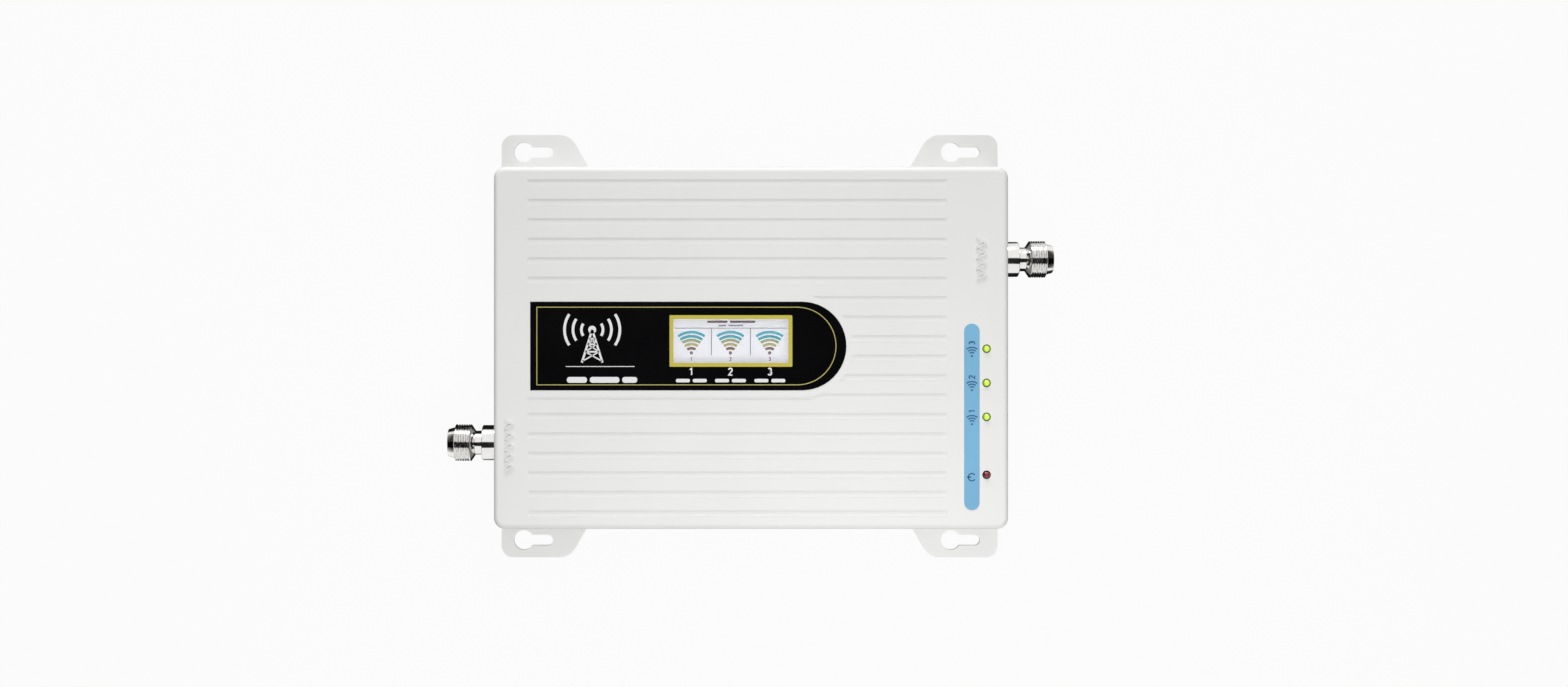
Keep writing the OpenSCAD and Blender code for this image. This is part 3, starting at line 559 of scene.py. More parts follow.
CHIP = surface("moulded_black", (0.018, 0.018, 0.019), 0.55, vary=0.15, patch=200, grain=2200,
               depth=0.02)
NYLON = surface("black_nylon", (0.02, 0.02, 0.021), 0.45, vary=0.12, patch=150)
JACK = surface("jack_plastic", (0.013, 0.013, 0.014), 0.36, vary=0.12, patch=150, grain=1300,
               depth=0.02)
WHITE_NYLON = surface("white_nylon", (0.76, 0.75, 0.70), 0.4, vary=0.03, grain=1200)
IVORY = surface("ivory_socket", (0.72, 0.66, 0.52), 0.42, vary=0.04, grain=1500)
LATCH = surface("brown_latch", (0.09, 0.035, 0.015), 0.4, vary=0.1, grain=1500)
FERRITE = surface("ferrite", (0.045, 0.045, 0.048), 0.6, vary=0.12, patch=300, grain=1800,
                  depth=0.03)
CERAMIC = surface("filter_ceramic", (0.55, 0.47, 0.30), 0.4, vary=0.06, patch=300, grain=1600)
SILVERED = surface("silvered_ceramic", (0.72, 0.70, 0.66), 0.34, 1.0, 0.07, 140, grain=1400,
                   depth=0.02)
CRYSTAL = surface("crystal_can", (0.74, 0.74, 0.75), 0.2, 1.0, 0.05, 200, grain=700)
PINK_PAD = surface("silicone_pad", (0.62, 0.26, 0.27), 0.75, vary=0.06, patch=160, grain=1000,
                   depth=0.03)
DISPLAY = surface("display_glass", (0.50, 0.53, 0.56), 0.08, vary=0.02, depth=0.002, coat=0.5)
BROWN_BODY = surface("ceramic_capacitor", (0.28, 0.17, 0.085), 0.5, vary=0.12, patch=500)
TRACK = surface("masked_copper_track", (0.02, 0.19, 0.08), 0.3, vary=0.06, patch=200, coat=0.3)
MASK = solder_mask()
RIBBON = ribbon_film()
ACRYLIC = clear_acrylic()

# Each CAD node that stays: its material, and the width of its rounded edges
KEPT = {
    "base_plate": (PLATE_PAINT_LIGHTENED, 0.35), "front_cover": (PAINT, 0.22), "label_overlay": (BLACK_FILM, 0.06),
    "lcd_window": (ACRYLIC, 0.1), "status_strip": (BLUE_FILM, 0.08),
    "led_leads": (TIN, 0.05), "led_spacers": (NYLON, 0.15), "main_pcb": (MASK, 0.08),
    "pcb_standoffs": (BRASS_NICKEL, 0.15), "pcb_screws": (STEEL, 0.12),
    "cover_screws": (STEEL, 0.1), "bracket_screws": (STEEL, 0.12),
    "power_amplifiers": (CHIP, 0.06), "band_filters": (CERAMIC, 0.06),
    "outdoor_duplexers": (SILVERED, 0.12), "indoor_duplexers": (SILVERED, 0.12),
    "controller_chip": (CHIP, 0.08), "crystal": (CRYSTAL, 0.35),
    "voltage_regulators": (CHIP, 0.1), "power_inductors": (FERRITE, 0.3),
    "dc_jack_housing": (JACK, 0.2), "dc_jack_pin": (PLATED, 0.06), "dc_jack_spring": (BRONZE, 0.04),
    "dc_jack_terminals": (TIN, 0.08), "lcd_bezel": (BEZEL, 0.15), "lcd_glass": (DISPLAY, 0.08),
    "lcd_board": (MASK, 0.08), "lcd_standoffs": (WHITE_NYLON, 0.12), "lcd_ribbon": (RIBBON, 0.02),
    "zif_socket": (IVORY, 0.08), "zif_latch": (LATCH, 0.08),
    "heat_spreaders": (ALUMINIUM, 0.4), "thermal_pads": (PINK_PAD, 0.1),
}
for side, _ in SIDES:
    KEPT[side + "_bracket"] = (STEEL, 0.2)
    KEPT[side + "_connector_screws"] = (STEEL, 0.12)
    KEPT[side + "_connector_insulator"] = (PTFE, 0.1)
    KEPT[side + "_connector_contact"] = (GOLD, 0.04)
for link in LINKS:
    for i in (1, 2, 3):
        KEPT[f"{link}_shield_frame_{i}"] = (SHIELD, 0.06)


# ---- Antenna sockets ----

# Radii, and places along the socket from the cover's outer wall
THREAD_R = 7.94
THREAD_DEPTH = 0.61
THREAD_PITCH = 1.058
THREAD_FROM, THREAD_TO = 11.0, 17.6
SOCKET_BORE_R = 4.05
COLLAR_R, COLLAR_END, COLLAR_BEVEL = 7.6, 6.0, 0.3
NECK_R, NECK_END = 5.15, 9.1
# The nose past the thread: its points as (distance back from the tip, radius)
NOSE = ((3.05, 7.3), (2.95, 6.7), (0.2, 5.95), (0, 5.7), (0, 4.4))
MOUTH_BEVEL = 0.35
FLANGE_W, FLANGE_CORNER_R = 17.5, 1.5
FLANGE_SCREW, FLANGE_HOLE_R = 6.4, 1.6
FLANGE_REAR, FLANGE_FRONT = -6.6, -4.4


def thread_radius(z, r, a):
    """Cuts the crest radius down to the root along a helix. The cut fades out at both ends.

    Across each turn the cut is a V with a flat bottom: deepest in the middle, none at the crest.
    """
    if not THREAD_FROM < z < THREAD_TO:
        return r
    fade_in, fade_out = 0.7, 0.5
    turn = (z / THREAD_PITCH - a / (2 * math.pi)) % 1
    cut = min(1, max(0, 1.25 - 3 * abs(turn - 0.5)))
    fade = min(1, (z - THREAD_FROM) / fade_in, (THREAD_TO - z) / fade_out)
    return r - THREAD_DEPTH * cut * fade


def eased(profile, r):
    """A closed profile with each of its sharp corners rounded by about r."""
    points = [Vector(p) for p in profile]
    result = []
    for i, p in enumerate(points):
        to_last, to_next = points[i - 1] - p, points[(i + 1) % len(points)] - p
        if to_last.angle(-to_next) < math.radians(25):
            result.append(tuple(p))
            continue
        reach = min(r, to_last.length * 0.45, to_next.length * 0.45)
        a, b = p + to_last.normalized() * reach, p + to_next.normalized() * reach
        result += [tuple(a), tuple((a + b + 2 * p) / 4), tuple(b)]
    return result


def socket_profile(tip):
    """The shell's closed outline as (z, r), with many points along the thread's crest."""
    outline = eased([(tip - MOUTH_BEVEL, SOCKET_BORE_R), (FLANGE_REAR, SOCKET_BORE_R),
                     (FLANGE_REAR, COLLAR_R), (COLLAR_END - COLLAR_BEVEL, COLLAR_R),
                     (COLLAR_END, COLLAR_R - COLLAR_BEVEL), (COLLAR_END, NECK_R), (NECK_END, NECK_R),
                     (THREAD_FROM, THREAD_R), (THREAD_TO, THREAD_R)]
                    + [(tip - back, r) for back, r in NOSE], 0.12)
    margin = 0.2
    start = max(i for i, (z, r) in enumerate(outline)
                if z <= THREAD_FROM + margin and r > THREAD_R - margin)
    steps = 72
    step = (THREAD_TO - THREAD_FROM) / steps
    crest = [THREAD_FROM + step * i for i in range(1, steps)]
    crest = [(z, THREAD_R) for z in crest if outline[start][0] < z < THREAD_TO - 0.15]
    return outline[:start + 1] + crest + outline[start + 1:]


def build_socket(side, sign):
    """Threaded shell with its square flange, drawn along +Z from the cover's outer wall."""
    node = side + "_connector_shell"
    middle = centre(node)
    wall = sign * corners("front_cover")[1].x
    tip = sign * (middle.x - wall) + size(node).x / 2
    shell = Shape().revolve(socket_profile(tip), n=96, radius=thread_radius)
    ends = (-FLANGE_SCREW, FLANGE_SCREW)
    holes = [circle(x, y, FLANGE_HOLE_R, 20) for x in ends for y in ends]
    flange = rounded(0, 0, FLANGE_W, FLANGE_W, FLANGE_CORNER_R)
    shell.plate([flange, circle(0, 0, COLLAR_R, 96)] + holes, FLANGE_REAR, FLANGE_FRONT)
    outward = Matrix.Rotation(math.radians(90 * sign), 4, "Y")
    place = Matrix.Translation((wall, middle.y, middle.z)) @ outward
    piece = shell.make(side + "_socket_shell", NICKEL, CHASSIS, "bright_nickel", place, smooth=32)
    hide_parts(node)


# ---- Lamps ----

def build_lamps():
    tip = size("led_power").z
    flange = [(0, 0), (0, LAMP_FLANGE_R), (LAMP_FLANGE_H, LAMP_FLANGE_R), (LAMP_FLANGE_H, LAMP_R)]
    dome = [(tip - LAMP_R + y, x) for x, y in arc(0, 0, LAMP_R, 0, 81, 9)]
    profile = flange + dome + [(tip, 0)]
    # Each lamp's resin: a glow from the chip, with a painted highlight and painted shade in its colour.
    green = lamp_resin("green_lamp_resin", (0.55, 0.80, 0.07), (0.16, 0.27, 0.012), 0.6)
    red = lamp_resin("red_lamp_resin", (0.24, 0.012, 0.03), (0.05, 0.004, 0.008), 0.35)
    for node in LAMPS:
        foot = (centre(node).x, centre(node).y, corners(node)[0].z)
        look, slot = (red, "led_red") if node == "led_power" else (green, "led_green")
        lamp = Shape().revolve(profile, n=40)
        piece = lamp.make(node + "_lens", look, CHASSIS, slot, smooth=40, at=foot)
        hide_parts(node)


# ---- Print on the black panel ----

def printed_on(surface_z, sink=0.02, rise=0.03):
    """Where print on a surface starts and ends, in z."""
    return surface_z - sink, surface_z + rise


PANEL_LOW, PANEL_HIGH = corners("label_overlay")
ON_PANEL = printed_on(PANEL_HIGH.z)
WINDOW = centre("lcd_window")
FRAME_BAND, FRAME_MARGIN = 1.6, 0.8
FRAME_W, FRAME_D = (v - FRAME_MARGIN for v in size("lcd_window").xy)
WINDOW_W, WINDOW_D = FRAME_W - 2 * FRAME_BAND, FRAME_D - 2 * FRAME_BAND
WINDOW_LEFT, WINDOW_TOP = WINDOW.x - WINDOW_W / 2, WINDOW.y + WINDOW_D / 2
# The display's three columns, from the window's left edge
COLUMNS = (7.7, 24.4, 41.2)


def panel_outline(left, sides, right):
    """The panel's outline, set in by three distances: at its left, above and below, and right."""
    y = (PANEL_LOW.y + PANEL_HIGH.y) / 2
    r = (PANEL_HIGH.y - PANEL_LOW.y) / 2 - sides
    x = PANEL_LOW.x + left
    return [(x, y + r), (x, y - r)] + arc(PANEL_HIGH.x - right - r, y, r, -90, 90, 40)


def build_gold_print():
    line_w = 0.36
    inset = (2.6, 2.1, 4.2)
    inner = [v + line_w for v in inset]
    gold = Shape().band(panel_outline(*inset), panel_outline(*inner), *ON_PANEL)
    gold.make("panel_gold_line", GOLD_INK, COVER, "panel_black")
    outside = rounded(WINDOW.x, WINDOW.y, FRAME_W, FRAME_D, 0.5)
    inside = rounded(WINDOW.x, WINDOW.y, WINDOW_W - 0.1, WINDOW_D - 0.1, 0.2)
    border = Shape().band(outside, inside, *printed_on(PANEL_HIGH.z, rise=0.08))
    border.make("window_gold_frame", FRAME_INK, COVER, "panel_black")


def bars(shape, x, y, widths, gap, h, z0, z1):
    """A row of plain rounded bars from x to the right, y at their middle."""
    for w in widths:
        shape.prism(rounded(x + w / 2, y, w, h, h * 0.45), z0, z1)
        x += w + gap


def build_emblem():
    """A lattice mast with waves at both sides, over a thin line and a row of plain bars."""
    x, foot, mast_h = -67.8, -6.2, 14.0
    half, wave_spread = 4.4, 34
    mark = Shape()

    def part(*points, width):
        """A stroke through points given from the middle of the mast's foot."""
        mark.stroke(placed(points, (x, foot)), width, *ON_PANEL)

    def half_at(h):
        """Half the mast's width at a height."""
        return half * (1 - h / mast_h)

    for s in (-1, 1):
        outward = 90 - 90 * s
        part((s * half, 0), (0, mast_h), width=0.9)
        for radius in (4.6, 8.2, 11.8):
            wave = arc(0, mast_h, radius, outward - wave_spread, outward + wave_spread, 14)
            part(*wave, width=1.15)
    levels = (0.6, 4.6, 7.8, 10.2)
    for low, high in zip(levels, levels[1:]):
        part((-half_at(high), high), (half_at(high), high), width=0.7)
        part((-half_at(low), low), (half_at(high), high), width=0.55)
        part((half_at(low), low), (-half_at(high), high), width=0.55)
    mark.prism(circle(x, foot + mast_h, 1.7), *ON_PANEL)
    mark.prism(rectangle(x + 3.4, -7.9, 29.4, 0.3), *ON_PANEL)
    bars(mark, -78.6, -13.6, (8.6, 12.6, 6.4), 1.2, 2.5, *ON_PANEL)
    mark.make("panel_mast_emblem", WHITE_INK, COVER, "panel_black")


def build_column_marks():
    """Under the window: a number for each band, and a pair of plain bars below it."""
    marks = Shape()
    for number, column in zip("123", COLUMNS):
        x = WINDOW_LEFT + column
        marks.digit(number, (x - 0.85, -11.5), 2.9, 0.62, *ON_PANEL)
        bars(marks, x - 6.6, -13.9, (6.0, 6.0), 1.2, 1.5, *ON_PANEL)
    marks.make("panel_column_marks", WHITE_INK, COVER, "panel_black")


def build_strip_marks():
    """Beside each signal lamp a small wave mark and its number, read from the right side."""
    on_strip = printed_on(corners("status_strip")[1].z)
    x, line_w, turn = centre("status_strip").x, 0.55, 90
    marks = Shape()
    for number in "123":
        spot = (x + 1.2, centre("led_signal_" + number).y - 3.6)
        marks.prism(placed(circle(0.5, 1.2, 0.45, 14), spot, turn), *on_strip)
        for radius in (1.5, 2.6, 3.7):
            marks.stroke(placed(arc(0.5, 1.2, radius, -38, 38, 8), spot, turn), line_w, *on_strip)
        marks.digit(number, placed([(5.4, 0)], spot, turn)[0], 2.4, line_w, *on_strip, turn=turn)
    spot = (x, centre("led_power").y - 1)
    marks.stroke(placed(arc(0, 0, 1.55, -55, 235, 26), spot, turn), line_w, *on_strip)
    marks.stroke(placed([(0, 0.2), (0, 2.1)], spot, turn), line_w, *on_strip)
    marks.make("strip_marks", BLUE_INK, COVER, "strip_blue")


# ---- Picture on the display ----

# The waves of each icon: radius and colour
WAVES = ((3.19, (0.205, 0.145, 0.11)), (4.96, (0.40, 0.345, 0.165)), (6.74, (0.29, 0.33, 0.19)),
         (8.33, (0.08, 0.31, 0.38)), (10.1, (0.10, 0.35, 0.43)))


def build_display_picture():
    """Three wave icons in columns, under a title of plain bars."""
    glass = corners("lcd_glass")[1].z
    page_z = (glass + 0.01, glass + 0.04)
    print_z = (page_z[1], glass + 0.08)
    glow, spread = 0.62, 34.5

    def show(shape, name, colour, dots=False):
        shape.make(name, ink(name, colour, glow, 0.3, dots=dots), CHASSIS, "display_glass")

    def at(x, y):
        """A place on the display, from the window's top left corner."""
        return WINDOW_LEFT + x, WINDOW_TOP - y

    page = Shape().prism(rounded(WINDOW.x, WINDOW.y, WINDOW_W + 2.4, WINDOW_D + 2.4, 0.4), *page_z)
    show(page, "display_page", (0.77, 0.76, 0.80), dots=True)
    title = Shape()
    bars(title, *at(14.4, 1.25), (8.8, 11.0), 0.9, 0.95, *print_z)
    for number, column in zip("123", COLUMNS):
        title.digit(number, at(column - 0.4, 17.9), 1.5, 0.36, *print_z)
    show(title, "display_title", (0.16, 0.115, 0.13))
    rules = Shape()
    bars(rules, *at(19.2, 2.85), (3.4, 6.4), 0.9, 0.7, *print_z)
    rules.prism(rectangle(*at(WINDOW_W / 2, 4.0), WINDOW_W - 1.0, 0.35), *print_z)
    for x in (16.3, 33.0):
        rules.prism(rectangle(*at(x, 9.9), 0.5, 11.5), *print_z)
    show(rules, "display_rules", (0.26, 0.26, 0.30))
    for i, (radius, colour) in enumerate(WAVES, 1):
        wave = Shape()
        for column in COLUMNS:
            wave.stroke(arc(*at(column, 15.8), radius, 90 + spread, 90 - spread, 14), 1.15, *print_z)
        show(wave, f"display_wave_{i}", colour)
    dots = Shape()
    for column in COLUMNS:
        dots.prism(circle(*at(column, 14.6), 0.75), *print_z)
    show(dots, "display_dots", (0.19, 0.14, 0.14))


# ---- On the circuit board ----

BOARD_TOP = corners("main_pcb")[1].z
ON_BOARD = printed_on(BOARD_TOP, sink=0.01)
STANDOFFS = [(x, y) for x in (-88, 88) for y in (-58, 58)] + [(0, -60), (0, 60), (-78, 0), (62, 0)]
DISPLAY_POSTS = [(x, y) for x in (-37.6, 20.4) for y in (-13, 19)]
SHIELDS = [f"{link}_shield_lid_{i}" for link in LINKS for i in (1, 2, 3)]
OUTLINED = ["controller_chip", "crystal", "outdoor_duplexers", "indoor_duplexers", "dc_jack_housing",
            "zif_socket"]
CAPACITOR_R = 4.0
COIL_W = 10.0
REGULATOR_D = 6.2


def capacitor_places():
    low, high = corners("bulk_capacitors")
    pitch = (high.y - low.y - 2 * CAPACITOR_R) / 2
    return [(centre("bulk_capacitors").x, low.y + CAPACITOR_R + i * pitch) for i in range(3)]


def coil_places():
    low, high = corners("power_inductors")
    return [(centre("power_inductors").x, y) for y in (low.y + COIL_W / 2, high.y - COIL_W / 2)]


def build_shield_lids():
    """A lid with rows of vent holes and a skirt cut into spring fingers."""
    t, skirt, finger, gap, corner_r = 0.4, 1.5, 3.4, 0.5, 1.4
    vent_r, vent_pitch = 0.7, 4
    for node in SHIELDS:
        (low, high), middle, whole = corners(node), centre(node), size(node)
        edge = rounded(middle.x, middle.y, whole.x, whole.y, corner_r)
        inner = rounded(middle.x, middle.y, whole.x - 2 * t, whole.y - 2 * t, corner_r - t)
        vents = [circle(middle.x + vent_pitch * i, middle.y + vent_pitch * j, vent_r, 14)
                 for i in range(-4, 5) for j in range(-2, 3)]
        lid = Shape().plate([edge] + vents, high.z - t, high.z)
        lid.band(edge, inner, low.z + skirt, high.z - t)
        for length, across, turn in ((whole.x, whole.y, 0), (whole.y, whole.x, 90)):
            count = int((length - 4) // (finger + gap))
            for i in range(count):
                x0 = (i - (count - 1) / 2) * (finger + gap) - finger / 2
                x1 = x0 + finger
                for y0 in (-across / 2, across / 2):
                    y1 = y0 - math.copysign(t, y0)
                    strip = [(x0, y0), (x1, y0), (x1, y1), (x0, y1)]
                    lid.prism(placed(strip, (middle.x, middle.y), turn), low.z, low.z + skirt)
        piece = lid.make(node + "_vented", SHIELD, CHASSIS, "shield_tin", bevel=0.06)
        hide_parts(node)


def build_capacitors():
    """Cans in dark sleeves with a crimp near the foot, a pale stripe and a scored top."""
    low, high = corners("bulk_capacitors")
    h = high.z - low.z
    wall = CAPACITOR_R - 0.06
    crimp, shoulder, top_r = wall - 0.45, wall - 0.2, wall - 0.85
    profile = [(0, 0), (0, wall - 0.3), (0.3, wall), (1.1, wall), (1.4, crimp), (1.75, crimp),
               (2.05, wall), (h - 0.6, wall), (h - 0.25, shoulder), (h - 0.12, wall - 0.6),
               (h - 0.2, wall - 0.8), (h - 0.2, 0)]
    sleeves, tops, stripes = Shape(), Shape(), Shape()
    for x, y in capacitor_places():
        sleeves.revolve([(low.z + z, q) for z, q in profile], (x, y), 40)
        for quarter in range(4):
            sector = [(0.14, 0.14)] + arc(0, 0, top_r, 3, 87, 10)
            tops.prism(placed(sector, (x, y), 90 * quarter), high.z - 0.25, high.z - 0.05)
        outer, inner = arc(x, y, CAPACITOR_R, 150, 210), arc(x, y, wall - 0.1, 150, 210)
        stripes.band(outer, inner, low.z + 2.3, high.z - 0.8, closed=False)
    piece = sleeves.make("capacitor_sleeves", CAN_SLEEVE, CHASSIS, "capacitor_can", smooth=40)
    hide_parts("bulk_capacitors")
    tops.make("capacitor_tops", CAN_TOP, CHASSIS, "capacitor_can", bevel=0.03)
    stripes.make("capacitor_stripes", SILK_INK, CHASSIS, "capacitor_can")


def lead(shape, x, y, turn, reach, width, lift):
    """A gull-wing lead: it leaves a body at x, y in the direction turn, down to the board."""
    t = 0.16
    shape.at = (Matrix.Translation((x, y, BOARD_TOP)) @ Matrix.Rotation(math.radians(turn), 4, "Z")
                @ Matrix.Rotation(math.radians(90), 4, "X"))
    points = [(-0.1, lift), (0.3 * reach, lift), (0.5 * reach, t / 2), (reach, t / 2)]
    shape.stroke(points, t, -width / 2, width / 2)
    shape.at = Matrix()


def build_leads():
    """Leads of the chip and the regulators, a regulator's tab, and the coils' end plates."""
    leads = Shape()
    chip, half, chip_pitch = centre("controller_chip"), size("controller_chip").x / 2, 0.8
    for turn in (0, 90, 180, 270):
        for i in range(-5, 6):
            x, y = placed([(half, i * chip_pitch)], (chip.x, chip.y), turn)[0]
            lead(leads, x, y, turn, 1.3, 0.32, 0.7)
    low, high = corners("voltage_regulators")
    x = centre("voltage_regulators").x
    for y in (low.y, high.y - REGULATOR_D):
        for dx in (-2.3, 2.3):
            lead(leads, x + dx, y, 270, 2.6, 0.8, 1.0)
        tab = rounded(x, y + REGULATOR_D + 0.9, 5.2, 2.2, 0.4)
        leads.prism(tab, BOARD_TOP + 0.02, BOARD_TOP + 0.5)
    for x, y in coil_places():
        for s in (-1, 1):
            leads.box(x + s * COIL_W / 2, y, BOARD_TOP, 0.5, 3.2, 2.4)
    leads.make("chip_leads", TIN, CHASSIS, "tinned_metal", bevel=0.03)


def build_chip_marks():
    """Pale dots and numbers on the chips and coils."""
    marks = Shape()
    low, high = corners("controller_chip")
    on_chip = printed_on(high.z, 0.01, 0.015)
    marks.prism(circle(low.x + 1.5, high.y - 1.5, 0.45), *on_chip)
    bars(marks, low.x + 2.6, centre("controller_chip").y, (3.2, 1.8), 0.6, 0.7, *on_chip)
    on_coil = printed_on(corners("power_inductors")[1].z, 0.01, 0.02)
    for x, y in coil_places():
        for i in range(2):
            marks.digit("2", (x - 2.2 + 2.4 * i, y - 1.3), 2.6, 0.4, *on_coil)
    marks.make("chip_marks", SILK_INK, CHASSIS, "chip_black")


def bus(shape, points, count=1, pitch=0.62, w=0.3):
    """Tracks side by side, the first one along the points."""
    for i in range(count):
        track = sides_of(points, 2 * pitch * i)[0] if i else points
        shape.stroke(track, w, *printed_on(BOARD_TOP, 0.01, 0.035))


def build_tracks():
    """Copper tracks: signal buses round the cans, wide power tracks, and each socket's own feed."""
    tracks = Shape()
    bus(tracks, [(-66, 7), (-66, 1), (-61, -4), (-61, -13), (-52, -22), (58, -22), (66, -14),
                 (99, -14)], 7)
    bus(tracks, [(-61.5, 19), (-56, 25), (48, 25), (57, 16), (92, 16)], 6)
    bus(tracks, [(-74.5, 15), (-84, 15), (-86, 13), (-86, -22), (-76, -29)], 4, 0.7)
    bus(tracks, [(-70, 20.5), (-70, 27), (-74, 31), (-74, 56), (-66, 60), (-8, 60)], 4, 0.7)
    bus(tracks, [(60, -57), (20, -57), (14, -61)], 3, 0.8)
    bus(tracks, [(61, -43), (61, -30), (61, -24)], w=1.6)
    bus(tracks, [(92, -41.7), (84, -41.7), (82, -39), (72, -39)], 2, 2.4, 1.8)
    for side, sign in SIDES:
        y = centre(side + "_connector_shell").y
        filters = side + "_duplexers"
        inner = centre(filters).x - sign * (size(filters).x / 2 + 0.4)
        bus(tracks, [(sign * 92.5, y), (sign * 87, y)], w=1.4)
        for i in (-1, 0, 1):
            bus(tracks, [(inner, y + 9 * i), (inner - sign * 3.2, y + 7 * i)], w=1.1)
    tracks.make("board_tracks", TRACK, CHASSIS, "solder_mask")


def build_board_pads():
    """Tinned rings around the screws, a fence of vias around each can, and solder at the tails."""
    pads = Shape()
    on_pad = printed_on(BOARD_TOP, 0.01, 0.04)
    for x, y in STANDOFFS:
        pads.band(circle(x, y, 3.5, 36), circle(x, y, 1.75, 36), *on_pad)
    via_pitch, via_gap = 2, 1.2
    for node in SHIELDS:
        middle, whole = centre(node), size(node)
        for turn, length, across in ((0, whole.x, whole.y), (90, whole.y, whole.x)):
            count = int(length // via_pitch)
            for i in range(count):
                for s in (-1, 1):
                    spot = ((i - (count - 1) / 2) * via_pitch, s * (across / 2 + via_gap))
                    x, y = placed([spot], (middle.x, middle.y), turn)[0]
                    pads.prism(circle(x, y, 0.38, 8), *on_pad)
    foot = BOARD_TOP - 0.02
    drop = [(foot, 0), (foot, 1.5), (BOARD_TOP + 0.5, 1.0), (BOARD_TOP + 1.15, 0)]
    for side, sign in SIDES:
        for i in range(5):
            pads.revolve(drop, (sign * (91.6 + 0.5 * i), centre(side + "_connector_contact").y), 16)
    pads.make("board_pads", SOLDER, CHASSIS, "tinned_metal", smooth=50)


def build_silkscreen():
    """White outlines around the larger parts, and a number beside each can."""
    silk = Shape()
    line_w = 0.2
    for node in OUTLINED:
        middle, whole = centre(node), size(node)
        margin = 2.0 if node == "controller_chip" else 0.7
        w, d = whole.x + 2 * margin, whole.y + 2 * margin
        outer = rounded(middle.x, middle.y, w, d, 0.3, 2)
        inner = rounded(middle.x, middle.y, w - 2 * line_w, d - 2 * line_w, 0.2, 2)
        silk.band(outer, inner, *ON_BOARD)
    for node in SHIELDS:
        at = (centre(node).x + 17, corners(node)[1].y + 2.2)
        silk.digit(node[-1], at, 2.6, 0.35, *ON_BOARD)
    for x, y in capacitor_places():
        silk.band(circle(x, y, 4.7, 40), circle(x, y, 4.4, 40), *ON_BOARD)
    silk.make("board_silkscreen", SILK_INK, CHASSIS, "solder_mask")


def build_small_parts():
    """Chip resistors and capacitors, scattered over a grid wherever the board is free."""
    rng = random.Random(11)
    pitch, chosen, clear, post_clear = 3.1, 0.2, 2.6, 5
    taken = SHIELDS + OUTLINED + ["bulk_capacitors", "power_inductors", "voltage_regulators", *LAMPS]
    areas = [corners(node) for node in taken]
    resistors, capacitors, ends = Shape(), Shape(), Shape()

    def is_free(x, y):
        near_area = any(low.x - clear < x < high.x + clear and low.y - clear < y < high.y + clear
                        for low, high in areas)
        near_post = any(math.hypot(x - px, y - py) < post_clear for px, py in STANDOFFS + DISPLAY_POSTS)
        return not near_area and not near_post

    def add_part(x, y, turned, is_capacitor):
        """A body between two tinned ends, on pads that reach a little past it."""
        length, width, height = (1.7, 0.9, 0.85) if is_capacitor else (1.7, 0.85, 0.5)
        gap, cap_len, foot_len = 0.04, 0.36, 1.0

        def block(shape, along, long, wide, z0, h):
            cx, cy = (x, y + along) if turned else (x + along, y)
            shape.box(cx, cy, z0, *((wide, long) if turned else (long, wide)), h)

        body = capacitors if is_capacitor else resistors
        block(body, 0, length - gap, width - gap, BOARD_TOP + 0.02, height - gap)
        for s in (-1, 1):
            shift = s * (length / 2 - 0.16)
            block(ends, shift, cap_len, width + gap, BOARD_TOP, height)
            block(ends, 1.25 * shift, foot_len, width + 0.3, BOARD_TOP - 0.01, 0.06)

    for column in range(-29, 31):
        for row in range(-20, 21):
            x, y = column * pitch, row * pitch
            chance, turned, is_capacitor = rng.random(), rng.random() < 0.5, rng.random() < 0.55
            if chance <= chosen and is_free(x, y):
                add_part(x, y, turned, is_capacitor)
    resistors.make("chip_resistors", CHIP, CHASSIS, "chip_black")
    capacitors.make("chip_capacitors", BROWN_BODY, CHASSIS, "filter_ceramic")
    ends.make("chip_ends", SOLDER, CHASSIS, "tinned_metal", bevel=0.05)


# ---- Stage ----

def build_camera():
    """A straight look down on the front face, from a little above and left of its middle."""
    at, aim, view_w = Vector((-20, 25, 770)), Vector((14.04, 1.92, 26)), 669.07
    data = bpy.data.cameras.new("camera")
    data.sensor_width = 36
    data.lens = (at.z - aim.z) * data.sensor_width / view_w
    data.shift_x = (aim.x - at.x) / view_w
    data.shift_y = (aim.y - at.y) / view_w
    data.clip_start = 0.01
    camera = new_object("camera", data)
    camera.location = at * MM
    bpy.context.scene.camera = camera


def area_light(name, at, w, d, power, reflected=True):
    """A soft light that faces the object. Chrome sees it only if it is reflected."""
    data = bpy.data.lights.new(name, "AREA")
    data.shape = "RECTANGLE"
    data.size, data.size_y = w, d
    data.energy = power
    light = new_object(name, data)
    light.location = at
    light.rotation_euler = Vector(at).to_track_quat("Z", "Y").to_euler()
    light.visible_camera = False
    light.visible_glossy = reflected


def grey_ramp(tree, source, low, high, stops):
    """Brightness along a value from low to high. stops are (place from 0 to 1, brightness)."""
    greys = [(at, (value,) * 3) for at, value in stops]
    return colour_ramp(tree, mapped(tree, source, low, high), greys)


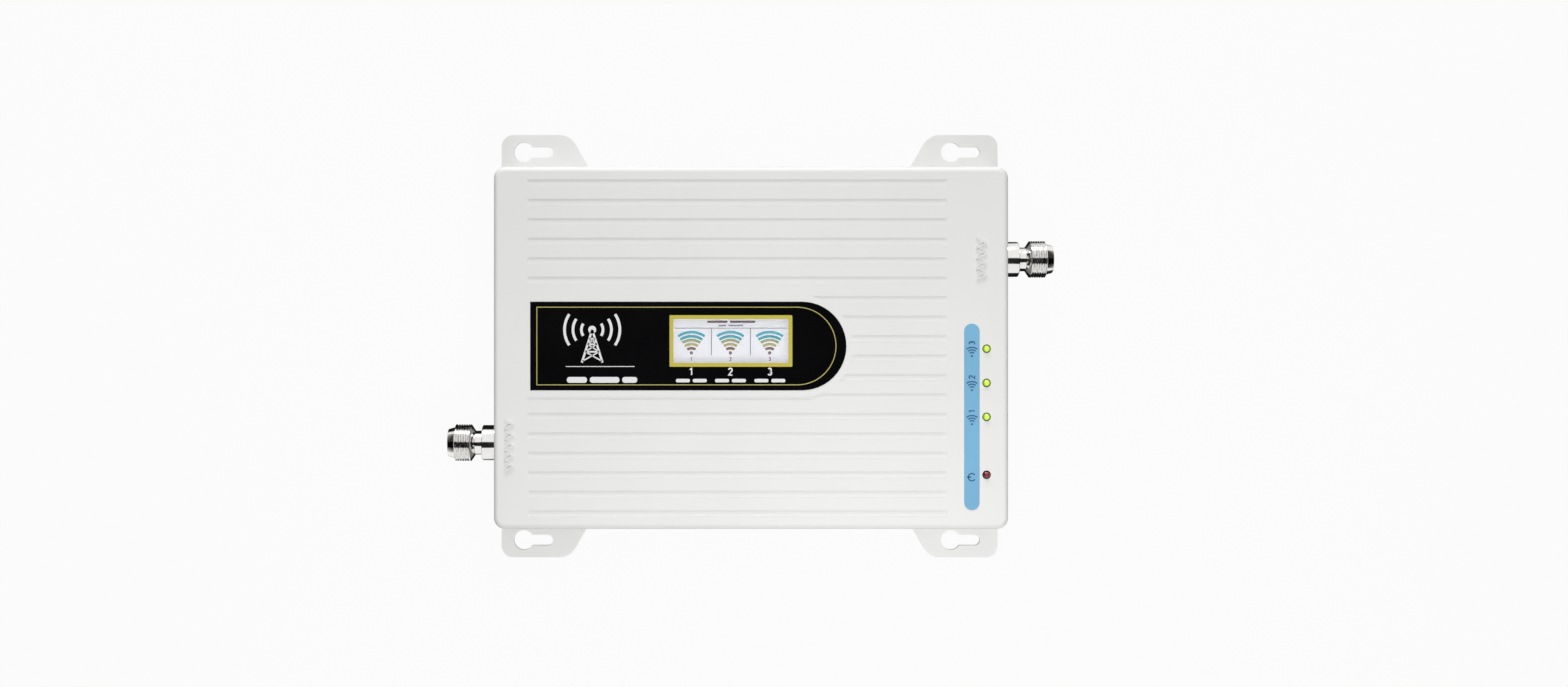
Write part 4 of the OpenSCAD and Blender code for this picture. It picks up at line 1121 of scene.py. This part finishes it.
def build_world():
    """A white studio. Chrome sees a dark strip overhead in it, and dark sides."""
    world = bpy.data.worlds.new("studio")
    bpy.context.scene.world = world
    world.use_nodes = True
    tree = world.node_tree
    split = tree.nodes.new("ShaderNodeSeparateXYZ")
    tree.links.new(tree.nodes.new("ShaderNodeTexCoord").outputs["Generated"], split.inputs[0])
    across = grey_ramp(tree, split.outputs["Y"], -1, 1,
                       [(0.0, 1), (0.24, 1), (0.27, 0.01), (0.56, 0.01), (0.59, 1), (1.0, 1)])
    along = grey_ramp(tree, split.outputs["X"], -1, 1,
                      [(0.0, 0.04), (0.13, 0.04), (0.24, 1), (0.76, 1), (0.87, 0.04), (1.0, 0.04)])
    overhead = grey_ramp(tree, split.outputs["Z"], 0, 1,
                         [(0.0, 0.05), (0.35, 0.15), (0.75, 0.86), (1.0, 0.86)])
    reflected = mixed(tree, 1, across, along, "MULTIPLY")
    fill = mixed(tree, 1, overhead, along, "MULTIPLY")
    backdrop = (0.93, 0.935, 0.94, 1)
    path = tree.nodes.new("ShaderNodeLightPath")
    lit = mixed(tree, path.outputs["Is Glossy Ray"], fill, reflected)
    seen = mixed(tree, path.outputs["Is Camera Ray"], lit, backdrop)
    tree.links.new(seen, tree.nodes["Background"].inputs["Color"])


def build_floor():
    """Pale floor. Shadows on it are kept faint, and chrome sees a painted shadow on it close under the
    object.
    """
    half, depth = 6, 0.05 * MM
    mesh = bpy.data.meshes.new("floor")
    mesh.from_pydata([(x, y, 0) for x, y in rectangle(0, 0, 2 * half, 2 * half)], [], [(0, 1, 2, 3)])
    floor = new_object("floor", mesh)
    floor.location.z = -depth
    s = Surface("pale_floor")
    tone = s.noise(3, 3)
    s.drive("Base Color", s.ramp(tone, [(0.3, (0.38, 0.38, 0.38)), (0.7, (0.41, 0.41, 0.41))]))
    s.drive("Roughness", s.spread(tone, 0.6, 0.7))
    path = s.add("ShaderNodeLightPath")
    white, shown_white = (1, 1, 1, 1), 0.95
    # Painted shadow: for reflected rays the floor turns dark close under the object, where its shadow
    # would fall.
    under = grey_ramp(s.tree, s.distance((0.9, 1.5, 0)), 0.12, 0.17,
                      [(0.0, 0.01), (0.3, 0.01), (0.6, 0.9), (1.0, 1.0)])
    white_glow_and_painted_shadow = s.add("ShaderNodeEmission")
    s.link(mixed(s.tree, path.outputs["Is Glossy Ray"], white, under), white_glow_and_painted_shadow.inputs["Color"])
    share = s.work_out("MULTIPLY_ADD", path.outputs["Is Camera Ray"], shown_white,
                       path.outputs["Is Glossy Ray"])
    blend = s.add("ShaderNodeMixShader")
    for socket, source in zip(blend.inputs, (share, s.shader.outputs[0], white_glow_and_painted_shadow.outputs[0])):
        s.link(source, socket)
    s.link(blend.outputs[0], s.tree.nodes["Material Output"].inputs["Surface"])
    dress(floor, s.material)


def build_stage():
    build_camera()
    build_world()
    build_floor()
    area_light("key_back", (-0.1, 1.2, 0.32), 1.0, 0.3, 12)
    area_light("soft_front", (0.06, -0.22, 0.32), 0.2, 0.2, 0.6, reflected=False)
    bpy.context.scene.view_settings.view_transform = "Standard"


build_stage()
for node, (material, width) in KEPT.items():
    soften(node, material, width)
for side, sign in SIDES:
    build_socket(side, sign)
for build in (build_lamps, build_gold_print, build_emblem, build_column_marks, build_strip_marks,
              build_display_picture, build_shield_lids, build_capacitors, build_leads, build_chip_marks,
              build_tracks, build_board_pads, build_silkscreen, build_small_parts):
    build()
